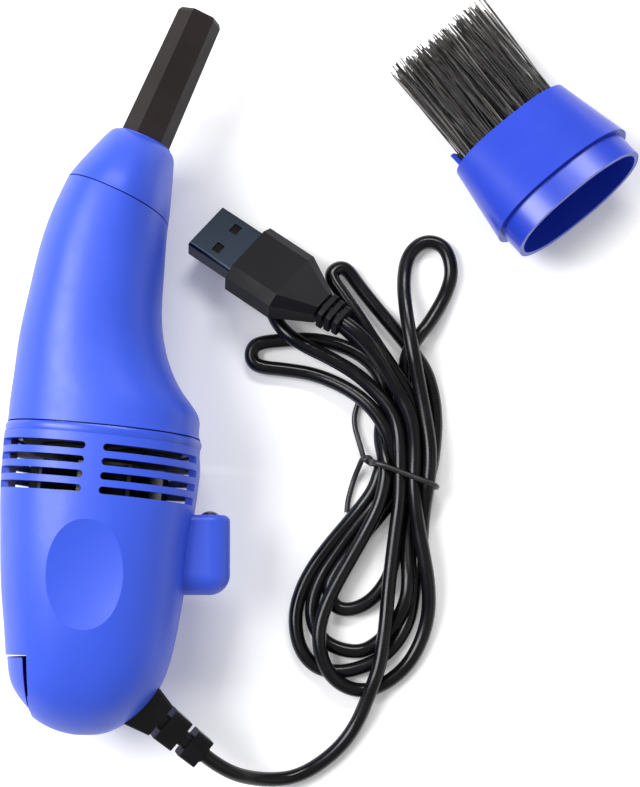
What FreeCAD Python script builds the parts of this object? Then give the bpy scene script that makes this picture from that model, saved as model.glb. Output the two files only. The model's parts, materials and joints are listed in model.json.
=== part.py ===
import FreeCAD, Part
import math
import os
from FreeCAD import Matrix, Placement, Rotation, Vector

# A hand-held keyboard vacuum lying on its side, with its loose brush and its corded plug.
# All sizes are in millimetres. X runs across the vacuum, Y along it towards the nozzle and
# Z up from the table. The origin is the middle of the footprint, on the table.

# ---------------------------------------------------------------- where things lie
vacuum_x = -45.1
vacuum_y = -16.8
axis_height = 19.5

# ---------------------------------------------------------------- body
body_lean = 5.4             # the coupling ring's plane leans this far towards the nozzle side
body_half_width = 19.5
body_half_depth = 19.2
body_squareness = 2.3       # 2 is an ellipse, larger is boxier
beyond = 60.0               # further out than any side of the body, for cuts right through
body_wall = 1.5
oval_points = 28

mouth_x = 2.35
mouth_y = 47.3
mouth_lean = 24.0
mouth_half_width = 11.0
mouth_half_depth = 17.4
mouth_wall = 1.1
mouth_depth = 6.0
duct_ledge = 1.3            # stop ledge behind the cap's spigot
duct_reach = 5.0            # run of the duct back into the dust chamber
plug_in_gap = 0.15          # all round a push-in oval
plug_in_length = 5.5
cap_seam = 0.25             # open line between the dust cup and the cap

# a profile gives (x, y, lean, width share, depth share) of each oval section; the shares run
# from 1 at the body's full size to 0 at the mouth, in front, or at nothing, behind
front_profile = (
    (0.05, 3.0, 6.0, 0.976, 0.917),
    (-0.15, 6.4, 6.8, 0.906, 0.806),
    (-1.3, 10.6, 7.8, 0.706, 0.667),
    (-2.1, 15.6, 9.4, 0.541, 0.500),
    (-2.2, 22.45, 12.0, 0.376, 0.389),
    (-1.3, 31.3, 16.1, 0.259, 0.278),
    (0.5, 40.5, 21.0, 0.141, 0.167),
)
rear_profile = (
    (-0.3, -2.0, body_lean, 1.015, 1.005),
    (-0.45, -4.6, 5.0, 1.0205, 1.006),
    (-0.65, -8.5, 4.2, 1.023, 1.006),
    (-1.0, -13.0, 3.0, 1.013, 1.005),
    (-1.35, -18.2, 1.6, 0.992, 1.003),
    (-1.7, -24.2, 0.5, 0.967, 0.995),
    (-1.95, -32.5, 0.0, 0.938, 0.958),
    (-2.3, -41.0, 0.0, 0.882, 0.885),
    (-2.8, -47.0, 0.0, 0.836, 0.797),
    (-3.2, -50.5, 0.0, 0.790, 0.729),
    (-3.4, -53.5, 0.0, 0.708, 0.651),
    (-3.5, -56.3, 0.0, 0.590, 0.542),
    (-3.5, -58.8, 0.0, 0.431, 0.396),
    (-3.3, -60.2, 0.0, 0.287, 0.266),
    (-3.1, -61.0, 0.0, 0.133, 0.125),
)
tail_wall_stations = 2      # the cavity stops this many stations before the tail's end

# ---------------------------------------------------------------- coupling ring
ring_length = 2.0
ring_bulge = 0.45
ring_seam = 0.3             # between the bead and the dust cup's rim
ring_lip_front = 2.4
ring_lip_rear = 1.3
ring_wall = 1.2
ring_fit = 0.6

# ---------------------------------------------------------------- exhaust slots
slot_rows = 4
slot_first = -4.5
slot_pitch = 2.8
slot_height = 1.45
slot_rib_left = -2.1        # the plain rib between the two groups of slots
slot_rib_right = 2.8
slot_overrun = 6.0
slot_side_strip = 5.0       # half height of the plain strip along each side

# ---------------------------------------------------------------- thumb recess
recess_x = -2.0
recess_y = -28.9
recess_radius = 55.0
recess_tilt = 6.0           # towards the tail, where the body falls away
recess_drop = 0.5           # from the body's half depth down to its surface at the dish
recess_depth = 1.5

# ---------------------------------------------------------------- lamp pod
pod_x = body_half_width + 2.0
pod_front = -17.1
pod_rear = -33.2
pod_radius = 4.1
pod_wall = 1.3
pod_front_edge = 1.3
pod_root = 12.0
lamp_radius = 2.7
lamp_proud = 0.9
lamp_length = 8.6
lamp_fit = 0.1
lamp_flange = 3.0

# ---------------------------------------------------------------- nose cap and nozzle
nozzle_lean = 23.3
cap_front_x = 7.65
cap_front_y = 60.2
# the same five values, with shares from 1 at the mouth to 0 at the lip round the nozzle
cap_profile = (
    (3.87, 51.0, 24.0, 0.790, 0.885),
    (5.39, 54.7, 23.8, 0.547, 0.680),
    (6.53, 57.48, 23.6, 0.360, 0.470),
    (7.14, 58.96, 23.5, 0.245, 0.310),
    (7.44, 59.70, 23.4, 0.110, 0.140),
)
cap_solid_stations = 2      # the cap's hollow stops this many stations before its front
cap_wall = 1.2
cap_lip_half_width = 5.7
cap_lip_half_depth = 6.2
cap_lip_height = 0.55
cap_socket_depth = 9.0
nozzle_base_radius = 5.3    # to the corners of the hexagon
nozzle_tip_radius = 4.8
nozzle_roll = -15.0         # turn of the hexagon about the nozzle's own axis
nozzle_length = 28.8
nozzle_bore_radius = 3.4
nozzle_root_radius = 4.25
nozzle_root_length = 8.0
nozzle_fit = 0.05
nozzle_seam = 0.25
nozzle_edge = 0.5

# ---------------------------------------------------------------- fan and motor
plate_front = -5.4
plate_thickness = 1.1
intake_radius = 8.0
seat_gap = 0.12             # between a bulkhead and the shell round it
fan_radius = 15.0
fan_front = -7.2
fan_back = -14.3
fan_blades = 9
fan_blade_thickness = 0.9
fan_hub_radius = 3.0
fan_back_thickness = 1.0
fan_blade_pitch = 24.0
fan_blade_sink = 0.4
shaft_radius = 1.0
shaft_fit = 0.05
bracket_front = -15.2
bracket_thickness = 1.5
bracket_hole_radius = 3.15
bracket_vent_half_width = 7.0
bracket_vent_half_depth = 2.5
bracket_vent_height = 14.0
motor_radius = 10.05
motor_half_flat = 7.55
motor_front = -16.8
motor_length = 22.0
motor_wall = 0.8
motor_boss_radius = 3.05
motor_boss_length = 1.5
bush_radius = 1.88
bush_fit = 0.02
bush_tail = 0.6
magnet_thickness = 1.5
magnet_fit = 0.05
magnet_gap_half_width = 5.5
rotor_radius = 6.35
rotor_slot_half_width = 0.8
rotor_slot_depth = 4.5
rotor_slots = 3
end_cap_length = 2.2
end_boss_radius = 3.0
end_boss_length = 1.0
end_plug_length = 2.0
terminal_length = 1.5
terminal_offset = 6.0
terminal_half_width = 1.2
terminal_half_thickness = 0.25
terminal_fit = 0.05
bracket_screw_offset = 5.6
bracket_screw_radius = 0.95
pad_length = 3.4
pad_wall = 1.9
pad_gap = 0.3
rib_positions = (-23.5, -36.0)
rib_thickness = 1.4
rib_clearance = 0.12

# ---------------------------------------------------------------- filter
filter_radius = 12.5
filter_frame_thickness = 1.6
filter_front = -2.2
filter_cloth_rise = 5.0
filter_cloth_thickness = 0.6

# ---------------------------------------------------------------- screws that join the rear shells
shell_screw_places = ((-15.2, -27.0), (11.2, -28.5), (-2.0, -56.2))
shell_screw_radius = 0.95
shell_screw_hole = 1.0
shell_screw_head = 1.8
shell_screw_head_height = 1.3
shell_screw_half_length = 6.0
shell_boss_radius = 2.4
screw_cross_half_length = 1.1
screw_cross_half_width = 0.25
screw_cross_depth = 0.6

# ---------------------------------------------------------------- power button
button_edge_x = -13.6       # the shells stop here, left of it is the button
button_top_y = -45.0
button_region_end = -64.0   # past the tail
button_top_gap = 0.5
button_gap_far = 1.0        # the gap narrows towards the pivot
button_gap_near = 0.35
button_wall = 1.5
button_inset_x = 0.25
button_inset_y = 0.7
pivot_x = -12.2
pivot_y = -54.6
pivot_pin_radius = 0.75
pivot_pin_half_length = 7.9
pivot_fit = 0.06
ear_half_size = 1.6
ear_inner = 6.2
lug_inner = 3.4
lug_outer = 5.9
lug_clearance = 0.35
lug_half_width = 1.3
nub_half_width = 1.0
nub_half_depth = 1.2

# ---------------------------------------------------------------- switch and electrics
switch_x = -10.3
switch_y = -48.3
switch_length = 5.8
switch_half_width = 3.3
switch_half_depth = 4.2
switch_leg_length = 1.6
switch_leg_offset = 1.8
switch_leg_half_width = 0.4
plunger_half_size = 1.3
plunger_reach = 2.2
plunger_gap = 0.7           # the pressed button carries its nub 0.4 nearer
plunger_travel = 0.5
plunger_fit = 0.08
board_left = -2.4
board_right = 9.2
board_face = -46.0          # the face towards the motor
board_thickness = 1.2
board_half_depth = 5.0
board_slot_depth = 1.6
board_slot_gap = 0.1
rail_left = 5.4
rail_right = 8.0
rail_wall = 1.3
resistor_x = 6.5
resistor_radius = 0.9
resistor_length = 4.2
wire_radius = 0.5
wire_turn_y = -43.6
lead_wire_radius = 0.3
lead_wire_spacing = 1.8
lead_wire_x = 14.3          # between the right screw post and the wall

# ---------------------------------------------------------------- strain relief and cord
cord_radius = 1.5
relief_x = 8.25
relief_y = -55.3
relief_heading = -40.2
relief_dip = 20.0
relief_blocks = (
    # start, length, width and depth at the start, width and depth at the end
    (-2.0, 6.3, 10.6, 4.6, 7.7, 4.4),
    (5.6, 4.4, 7.3, 4.4, 7.0, 4.3),
    (12.0, 4.1, 6.6, 4.2, 6.4, 4.0),
)
relief_corner = 0.6
relief_waist_width = 3.4    # of the neck seen between the blocks
relief_waist_depth = 3.2
relief_waist_start = 1.5
relief_neck_width = 4.6
relief_neck_depth = 4.2
relief_end = 16.6
relief_flange_start = -4.4
relief_flange_length = 1.5
relief_flange_width = 8.6
relief_flange_depth = 7.6
relief_fit = 0.15

# the cord's route, chosen by hand: (x, y, z) of the corners that its arcs round off
lead_straight = 6.0
lead_route = (
    (-13.2, -88.1, 4.4),
    (-5.6, -87.6, 1.75),
    (1.9, -82.6, 1.7),
    (6.4, -76.8, 2.1),
    (9.5, -69.0, 4.2),
)

# ---------------------------------------------------------------- cord hank
hank_height = 6.2
hank_floor = 0.0
hank_edge = 1.8
crown_height = 5.8
crown_edge = 1.2
lobe_outline = (
    (8.9, -25.9), (6.3, -32.4), (0.8, -39.3), (-4.4, -46.6), (-8.0, -56.1), (-6.2, -62.2),
    (-0.3, -68.7), (7.5, -71.2), (14.4, -69.3), (20.8, -63.2), (23.4, -54.0), (22.8, -43.5),
    (22.2, -35.0), (21.6, -30.8), (15.6, -28.4),
)
# the trunk above the tie with its three loops, the right one open
crown_outline = (
    (23.4, -22.8), (24.6, -17.2), (25.0, -9.8), (24.0, -3.5), (21.9, 1.6), (22.4, 5.8),
    (25.3, 9.8), (27.5, 14.8), (27.9, 20.0), (26.2, 25.0), (22.2, 27.1), (17.9, 25.0),
    (15.5, 19.1), (14.9, 11.8), (14.0, 7.8), (12.2, 9.2), (9.8, 12.7), (6.2, 18.9),
    (3.4, 20.4), (1.3, 18.1), (2.1, 14.6), (4.9, 8.8), (5.9, 4.6), (2.6, 3.4),
    (-4.5, 6.2), (-9.0, 8.4), (-12.3, 8.0), (-14.2, 4.4), (-16.4, 1.7), (-14.7, -1.0),
    (-9.8, -2.9), (-2.0, -3.9), (4.2, -5.6), (7.2, -7.6), (8.6, -11.5), (10.3, -18.0),
    (16.6, -20.9),
)
loop_eye_outline = (
    (18.1, 8.2), (18.2, 12.7), (18.6, 18.7), (20.2, 22.8), (22.2, 23.9), (24.0, 22.4),
    (24.7, 18.6), (23.6, 14.3),
)
# the bundle between them, a rounded bar under the tie
waist_width = 13.4
waist_depth = 5.5
waist_corner = 2.2
waist_middle = 4.05
waist_half_length = 7.0

# ---------------------------------------------------------------- cord tie
tie_radius = 0.6
tie_centre = (16.4, -24.6)
tie_heading = -21.0
tie_gap = 0.05
tie_knot_radius = 1.4
tie_upper_tail = ((8.5, -21.5, 3.2), (7.0, -16.0, 1.1), (6.0, -12.2, 0.8), (6.8, -9.0, 0.8))
tie_lower_tail = ((8.5, -21.5, 3.2), (5.9, -25.2, 1.1), (4.9, -29.0, 0.8), (4.4, -32.4, 0.8))

# ---------------------------------------------------------------- plug
plug_tip = (-25.6, 27.4, 4.2)
plug_heading = -35.2
plug_pitch = 11.0
plug_roll = -21.0
plug_shell_width = 12.0
plug_shell_depth = 4.5
plug_shell_exposed = 11.2
plug_shell_buried = 5.0
plug_shell_wall = 0.32
plug_window = 2.3
plug_window_spacing = 6.0
plug_window_centre = 5.6
tongue_width = 10.8
tongue_depth = 1.9
tongue_length = 14.2
tongue_setback = 0.9
contact_width = 1.1
contact_length = 7.6
contact_thickness = 0.15
contact_spread = (-3.5, -1.0, 1.0, 3.5)
overmold_width = 15.6
overmold_depth = 8.0
overmold_panel_half = 5.4
overmold_bevel = 1.6
overmold_straight = 11.5
overmold_taper = 8.3
neck_width = 6.6
neck_depth = 5.8
neck_ribs = 3
neck_rib_pitch = 1.8
neck_rib_gap = 0.7
plug_lead_straight = 5.5
plug_lead_end = (14.2, -5.4, 5.3)

# ---------------------------------------------------------------- brush attachment
brush_x = 39.1
brush_y = 48.6
brush_heading = -50.9       # from the bristles towards the open end
brush_tilt = 13.8           # the open end is raised
sleeve_length = 17.2
sleeve_tip_half_width = 14.6
sleeve_tip_half_depth = 6.9
collar_wall = 1.1
holder_gap = 0.15
holder_setback = 3.2
holder_thickness = 2.4
holder_lip = 4.2
holder_lip_wall = 0.9
holder_lip_inset = 1.5
holder_lip_top = -0.6       # the lip stands only under the tufts
tuft_columns = 8
tuft_rows = 3
tuft_pitch = 3.1
tuft_row_pitch = 2.7
tuft_root_radius = 0.95
tuft_tip_radius = 1.2
tuft_length = 29.4
tuft_swing = 2.5            # the tufts lean a little towards the nozzle side
tuft_socket = 1.0
tuft_tip_floor = 1.7
tuft_tip_layering = 0.55    # how far the upper rows' tips keep above the lower ones
tuft_fit = 0.12


# ================================================================ sections
def blended_stations(profile, full_size, least_size):
    """Stations as (x, y, lean, half width, half depth), sized between two such pairs."""
    stations = []
    for x, y, lean, width_share, depth_share in profile:
        half_width = least_size[0] + (full_size[0] - least_size[0]) * width_share
        half_depth = least_size[1] + (full_size[1] - least_size[1]) * depth_share
        stations.append((x, y, lean, half_width, half_depth))
    return stations


body_size = (body_half_width, body_half_depth)
mouth_size = (mouth_half_width, mouth_half_depth)
lip_size = (cap_lip_half_width, cap_lip_half_depth)
ring_station = (0.0, 0.0, body_lean, *body_size)
mouth_station = (mouth_x, mouth_y, mouth_lean, *mouth_size)
front_stations = [ring_station] + blended_stations(front_profile, body_size, mouth_size) + [mouth_station]
rear_stations = blended_stations(rear_profile, body_size, (0.0, 0.0))
cap_stations = [mouth_station] + blended_stations(cap_profile, mouth_size, lip_size)


# ================================================================ helpers
def section_frame(station):
    """The middle of a section, its direction across the body and its forward normal."""
    lean = math.radians(station[2])
    centre = Vector(station[0], station[1], 0)
    across = Vector(math.cos(lean), -math.sin(lean), 0)
    forward = Vector(math.sin(lean), math.cos(lean), 0)
    return centre, across, forward


def oval_wire(station, grow=0.0, ahead=0.0):
    """A closed smooth oval in the section's plane."""
    centre, across, forward = section_frame(station)
    half_width = station[3] + grow
    half_depth = station[4] + grow
    power = 2.0 / body_squareness
    points = []
    for step in range(oval_points):
        angle = 2 * math.pi * step / oval_points
        c = math.cos(angle)
        s = math.sin(angle)
        u = half_width * math.copysign(abs(c) ** power, c)
        v = half_depth * math.copysign(abs(s) ** power, s)
        points.append(centre + across * u + Vector(0, 0, v) + forward * ahead)
    curve = Part.BSplineCurve()
    curve.interpolate(Points=points, PeriodicFlag=True)
    return Part.Wire([curve.toShape()])


def oval_loft(stations, grow=0.0, back=0.0, front=0.0):
    """A solid through the stations; its first and last sections can be moved outwards."""
    wires = []
    last = len(stations) - 1
    for index, station in enumerate(stations):
        ahead = 0.0
        if index == 0:
            ahead = back
        if index == last:
            ahead = front
        wires.append(oval_wire(station, grow, ahead))
    return Part.makeLoft(wires, True, False, False, 3)


def oval_prism(station, grow, start, end):
    """A straight oval bar along the section's normal from start to end."""
    forward = section_frame(station)[2]
    face = Part.Face(oval_wire(station, grow, start))
    return face.extrude(forward * (end - start))


def resized(station, half_width, half_depth):
    return (station[0], station[1], station[2], half_width, half_depth)


def slab(x_low, x_high, y_low, y_high, z_low, z_high):
    return Part.makeBox(x_high - x_low, y_high - y_low, z_high - z_low, Vector(x_low, y_low, z_low))


def rod(radius, start, end):
    """A cylinder between two points."""
    line = end - start
    return Part.makeCylinder(radius, line.Length, start, line)


def along_motor(shape):
    """Turn a shape built along Y into the leaning axis of the fan and motor."""
    moved = shape.copy()
    moved.rotate(Vector(0, 0, 0), Vector(0, 0, 1), -body_lean)
    return moved


def motor_rod(radius, start, end, x=0.0, z=0.0):
    return Part.makeCylinder(radius, end - start, Vector(x, start, z), Vector(0, 1, 0))


def outline_wire(points, inset, z):
    """A smooth closed outline, drawn in by the inset."""
    count = len(points)
    flat = [Vector(x, y, z) for x, y in points]
    area = sum(flat[i - 1].x * flat[i].y - flat[i].x * flat[i - 1].y for i in range(count))
    moved = []
    for index in range(count):
        along = flat[(index + 1) % count] - flat[index - 1]
        inward = Vector(-along.y, along.x, 0).normalize()
        moved.append(flat[index] + inward * math.copysign(inset, area))
    curve = Part.BSplineCurve()
    curve.interpolate(Points=moved, PeriodicFlag=True)
    return Part.Wire([curve.toShape()])


def rounded_plate(points, z_low, z_high, edge):
    """A plate with a smooth closed outline and rounded rims."""
    shoulder = edge * (1 - math.sqrt(0.5))
    profile = (
        (edge, z_low), (shoulder, z_low + shoulder), (0.0, z_low + edge),
        (0.0, z_high - edge), (shoulder, z_high - shoulder), (edge, z_high),
    )
    wires = [outline_wire(points, inset, z) for inset, z in profile]
    plate = Part.makeLoft(wires, True, True)
    if plate.Volume < 0:
        plate.reverse()
    return plate


def rounded_section(width, depth, corner, x):
    """A rounded rectangle across the X axis."""
    half_w = width / 2 - corner
    half_d = depth / 2 - corner
    edges = []
    corners = ((half_w, half_d, 0), (-half_w, half_d, 90), (-half_w, -half_d, 180), (half_w, -half_d, 270))
    ends = []
    for y, z, turn in corners:
        arc_points = []
        for angle in (turn, turn + 45, turn + 90):
            a = math.radians(angle)
            arc_points.append(Vector(x, y + corner * math.cos(a), z + corner * math.sin(a)))
        ends.append(arc_points)
    for index, arc_points in enumerate(ends):
        edges.append(Part.Arc(*arc_points).toShape())
        following = ends[(index + 1) % 4]
        edges.append(Part.LineSegment(arc_points[2], following[0]).toShape())
    return Part.Wire(edges)


def route_path(points):
    """Straight runs joined by tangent arcs, each arc as large as its two runs allow."""
    points = [Vector(*p) for p in points]
    edges = []
    radii = []
    start = points[0]
    for index in range(1, len(points) - 1):
        before = points[index - 1] - points[index]
        after = points[index + 1] - points[index]
        half_turn = (math.pi - before.getAngle(after)) / 2
        reach = 0.45 * min(before.Length, after.Length)
        radii.append(reach / math.tan(half_turn))
        u = Vector(before).normalize()
        v = Vector(after).normalize()
        arc_start = points[index] + u * reach
        arc_end = points[index] + v * reach
        bisector = (u + v).normalize()
        from_corner = radii[-1] / math.cos(half_turn) - radii[-1]
        arc_middle = points[index] + bisector * from_corner
        edges.append(Part.LineSegment(start, arc_start).toShape())
        edges.append(Part.Arc(arc_start, arc_middle, arc_end).toShape())
        start = arc_end
    edges.append(Part.LineSegment(start, points[-1]).toShape())
    return Part.Wire(edges), radii


def tube(points, radius, label):
    """A round tube along a route, with its bends and its volume reported."""
    path, radii = route_path(points)
    heading = Vector(*points[1]) - Vector(*points[0])
    ring = Part.Wire([Part.makeCircle(radius, Vector(*points[0]), heading)])
    solid = path.makePipeShell([ring], True, False)
    expected = math.pi * radius ** 2 * path.Length
    print(label, "length %.1f" % path.Length, "volume ratio %.4f" % (solid.Volume / expected),
          "radii", ["%.1f" % r for r in radii])
    return solid


def wires_along(routes, radius):
    """Thin wires, each along its own route."""
    wires = []
    for points in routes:
        path, radii = route_path(points)
        heading = Vector(*points[1]) - Vector(*points[0])
        ring = Part.Wire([Part.makeCircle(radius, Vector(*points[0]), heading)])
        wires.append(path.makePipeShell([ring], True, False))
    return Part.makeCompound(wires)


def placed_in_vacuum(shape):
    moved = shape.copy()
    moved.translate(Vector(vacuum_x, vacuum_y, axis_height))
    return moved


# ================================================================ outer forms
def rear_outer():
    return oval_loft(rear_stations)


def rear_cavity():
    """The inside of the housing, kept clear of the thumb recesses."""
    inner = rear_stations[:-tail_wall_stations]
    cavity = oval_loft(inner, grow=-body_wall, back=2.0)
    return cavity.cut([thumb_recess(1, body_wall), thumb_recess(-1, body_wall)])


def front_cavity():
    """The dust chamber, open at the ring, and the socket for the cap behind the mouth."""
    chamber = oval_loft(front_stations[:-1], grow=-body_wall, back=-1.0)
    socket = oval_prism(mouth_station, -mouth_wall, -mouth_depth, 1.0)
    duct = oval_prism(mouth_station, -mouth_wall - duct_ledge, -mouth_depth - duct_reach, -mouth_depth + 1.0)
    return chamber.fuse(duct).fuse(socket)


def chamber_form():
    """The rear cavity without its front extension, for trimming bulkheads to fit the shell."""
    return oval_loft(rear_stations[:-tail_wall_stations], grow=-body_wall - seat_gap, back=-1.0)


# ================================================================ front parts
def front_shell():
    seam = oval_prism(mouth_station, body_wall, -cap_seam, body_wall)
    return oval_loft(front_stations).cut([front_cavity(), seam])


def nose_cap():
    inner_station = mouth_station
    body = oval_loft(cap_stations)
    front = (cap_front_x, cap_front_y, nozzle_lean, cap_lip_half_width, cap_lip_half_depth)
    lip = oval_prism(front, 0.0, -cap_lip_height - 1.2, 0.0)
    spigot = oval_prism(inner_station, -mouth_wall - plug_in_gap, -plug_in_length, 0.2)
    cap = body.fuse([lip, spigot])
    hollow = oval_loft(cap_stations[:-cap_solid_stations], grow=-cap_wall - mouth_wall - plug_in_gap)
    spigot_hollow = oval_prism(inner_station, -cap_wall - mouth_wall - plug_in_gap, -plug_in_length - 1, 0.5)
    cap = cap.cut(hollow.fuse(spigot_hollow))
    centre, across, forward = section_frame(front)
    socket = rod(nozzle_root_radius + nozzle_fit, centre - forward * cap_socket_depth, centre + forward * 2)
    sleeve = rod(nozzle_root_radius + nozzle_fit + cap_wall, centre - forward * cap_socket_depth,
                 centre - forward * 0.3)
    sleeve = sleeve.common(oval_loft(cap_stations, grow=-0.4))
    return cap.fuse(sleeve).cut(socket)


def hexagon(radius, distance, centre, across, forward):
    corners = []
    for side in range(6):
        angle = math.radians(60 * side + nozzle_roll)
        offset = across * (radius * math.cos(angle)) + Vector(0, 0, radius * math.sin(angle))
        corners.append(centre + offset + forward * distance)
    corners.append(corners[0])
    return Part.makePolygon(corners)


def nozzle():
    station = (cap_front_x, cap_front_y, nozzle_lean, 0, 0)
    centre, across, forward = section_frame(station)
    base = hexagon(nozzle_base_radius, nozzle_seam, centre, across, forward)
    neck = hexagon(nozzle_tip_radius, nozzle_length - 0.8, centre, across, forward)
    tip = hexagon(nozzle_tip_radius - nozzle_edge, nozzle_length, centre, across, forward)
    tube_body = Part.makeLoft([base, neck], True, True)
    end = Part.makeLoft([neck, tip], True, True)
    root = rod(nozzle_root_radius, centre - forward * nozzle_root_length, centre + forward * 0.5)
    bore = rod(nozzle_bore_radius, centre - forward * (nozzle_root_length + 1),
               centre + forward * (nozzle_length + 1))
    return tube_body.fuse([end, root]).cut(bore)


def coupling_ring():
    """A raised bead with a lip in front for the dust cup and one behind inside the rear shells."""
    bulge = resized(ring_station, body_half_width + ring_bulge, body_half_depth + ring_bulge - 0.15)
    wires = [
        oval_wire(ring_station, 0.05, -ring_seam),
        oval_wire(bulge, -0.12, -ring_length * 0.4),
        oval_wire(bulge, -0.12, -ring_length * 0.75),
        oval_wire(ring_station, 0.1, -ring_length),
    ]
    bead = Part.makeLoft(wires, True, False)
    lip_grow = -body_wall - ring_fit
    lips = oval_prism(ring_station, lip_grow, -ring_length - ring_lip_rear, ring_lip_front)
    hole = oval_prism(ring_station, lip_grow - ring_wall, -ring_length - ring_lip_rear - 1,
                      ring_lip_front + 1)
    return bead.fuse(lips).cut(hole)


def filter_frame():
    """An open ring with a cross of spokes that seats in the coupling ring."""
    seat = oval_prism(ring_station, -body_wall - ring_fit - ring_wall - seat_gap,
                      filter_front - filter_frame_thickness, filter_front)
    hole = along_motor(motor_rod(filter_radius, filter_front - 3, filter_front + 1))
    ring = seat.cut(hole)
    spokes = []
    for angle in (0, 60, 120):
        spoke = slab(-filter_radius - 0.5, filter_radius + 0.5, filter_front - filter_frame_thickness,
                     filter_front - 0.4, -0.6, 0.6)
        spoke.rotate(Vector(0, 0, 0), Vector(0, 1, 0), angle)
        spokes.append(along_motor(spoke))
    return ring.fuse(spokes)


def filter_cloth():
    """A shallow dome of cloth standing in the dust chamber, on the frame."""
    rim = filter_radius + 1.8
    rise = filter_cloth_rise
    start = filter_front + 0.05
    dome_radius = (rim ** 2 + rise ** 2) / (2 * rise)
    outer = Part.makeSphere(dome_radius, Vector(0, start + rise - dome_radius, 0))
    inner = Part.makeSphere(dome_radius - filter_cloth_thickness, Vector(0, start + rise - dome_radius, 0))
    rim_ring = motor_rod(rim, start, start + 0.7)
    rim_ring = rim_ring.cut(motor_rod(rim - 1.2, start - 1, start + 2))
    keep = motor_rod(rim, start, start + rise + 1)
    return along_motor(outer.cut(inner).common(keep).fuse(rim_ring))


# ================================================================ rear shells
def slot_cutters():
    """Rounded slots in rows round each half, left and right of a plain rib."""
    cutters = []
    far = body_half_width + slot_overrun
    for row in range(slot_rows):
        high = slot_first - slot_pitch * row + slot_height / 2
        low = high - slot_height
        for x_low, x_high in ((-far, slot_rib_left), (slot_rib_right, far)):
            inner_end = x_high if x_low < -far / 2 else x_low
            for side in (-1, 1):
                z_low, z_high = sorted((side * slot_side_strip, side * far))
                cut = slab(x_low, x_high, low, high, z_low, z_high)
                end = Part.makeCylinder(slot_height / 2, z_high - z_low,
                                        Vector(inner_end, (low + high) / 2, z_low))
                cutters.append(along_motor(cut))
                cutters.append(along_motor(end))
    return cutters


def thumb_recess(side, grow=0.0):
    """The ball that presses a shallow dish into one half."""
    tilt = math.radians(recess_tilt)
    reach = recess_radius - recess_depth
    height = body_half_depth - recess_drop + reach * math.cos(tilt)
    middle = Vector(recess_x, recess_y - reach * math.sin(tilt), side * height)
    return Part.makeSphere(recess_radius + grow, middle)


def pod_outer():
    """A barrel along the side on a web as thick as itself, both rounded off behind."""
    tail_y = pod_rear + pod_radius
    corners = [Vector(pod_x, tail_y, pod_radius), Vector(pod_root, tail_y, pod_radius),
               Vector(pod_root, tail_y, -pod_radius), Vector(pod_x, tail_y, -pod_radius)]
    edges = [Part.LineSegment(a, b).toShape() for a, b in zip(corners, corners[1:])]
    edges.append(Part.Arc(corners[3], Vector(pod_x + pod_radius, tail_y, 0), corners[0]).toShape())
    block = Part.Face(Part.Wire(edges)).extrude(Vector(0, pod_front - tail_y, 0))
    front_edges = [e for e in block.Edges if abs(e.CenterOfMass.y - pod_front) < 0.01]
    rounded = [e for e in front_edges if e.CenterOfMass.x > pod_root + 1]
    block = block.makeFillet(pod_front_edge, rounded)
    tail = rod(pod_radius, Vector(pod_root, tail_y, 0), Vector(pod_x, tail_y, 0))
    end = Part.makeSphere(pod_radius, Vector(pod_x, tail_y, 0))
    return block.fuse(tail).fuse(end)


def pod_cavity():
    inner = pod_radius - pod_wall
    barrel = motor_rod(inner, pod_rear + pod_radius, pod_front - pod_wall, pod_x)
    passage = slab(pod_x - pod_radius - 6, pod_x, pod_rear + 6, pod_rear + 10, -1.6, 1.6)
    window = motor_rod(lamp_radius + lamp_fit, pod_front - pod_wall - 1, pod_front + 1, pod_x)
    return barrel.fuse([passage, window])


def button_region(gap_far, gap_near, top_gap, depth=beyond):
    """The corner left of the button's edge, as a block right through the body."""
    top = button_top_y - top_gap
    corners = [
        Vector(-beyond, top, -depth),
        Vector(button_edge_x - gap_far, top, -depth),
        Vector(button_edge_x - gap_near, button_region_end, -depth),
        Vector(-beyond, button_region_end, -depth),
    ]
    corners.append(corners[0])
    return Part.Face(Part.makePolygon(corners)).extrude(Vector(0, 0, 2 * depth))


def motor_outline(grow, start, end):
    can = motor_rod(motor_radius + grow, start, end)
    flats = slab(-beyond, beyond, start, end, -motor_half_flat - grow, motor_half_flat + grow)
    return can.common(flats)


def cradle_ribs(cavity):
    ribs = []
    for position in rib_positions:
        block = slab(-beyond, beyond, position - rib_thickness / 2, position + rib_thickness / 2,
                     -beyond, beyond)
        block = along_motor(block).common(cavity)
        hole = along_motor(motor_outline(rib_clearance, position - 2, position + 2))
        wire_way = slab(-4, 16, position - 6, position + 6, -3.0, 3.0)
        ribs.append(block.cut(hole).cut(wire_way))
    return ribs


def screw_bosses(cavity):
    posts = []
    for x, y in shell_screw_places:
        post = Part.makeCylinder(shell_boss_radius, 60, Vector(x, y, -30))
        posts.append(post.common(cavity))
    return posts


def pivot_ears(cavity):
    ears = []
    for side in (-1, 1):
        z_low, z_high = sorted((side * ear_inner, side * 14))
        ear = slab(pivot_x - ear_half_size, pivot_x + ear_half_size, pivot_y - ear_half_size,
                   pivot_y + ear_half_size, z_low, z_high)
        ears.append(ear.common(cavity))
    return ears


def relief_placement():
    spin = Rotation(Vector(0, 0, 1), relief_heading)
    dip = Rotation(Vector(0, 1, 0), relief_dip)
    return Placement(Vector(relief_x, relief_y, 0), spin.multiply(dip))


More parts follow.
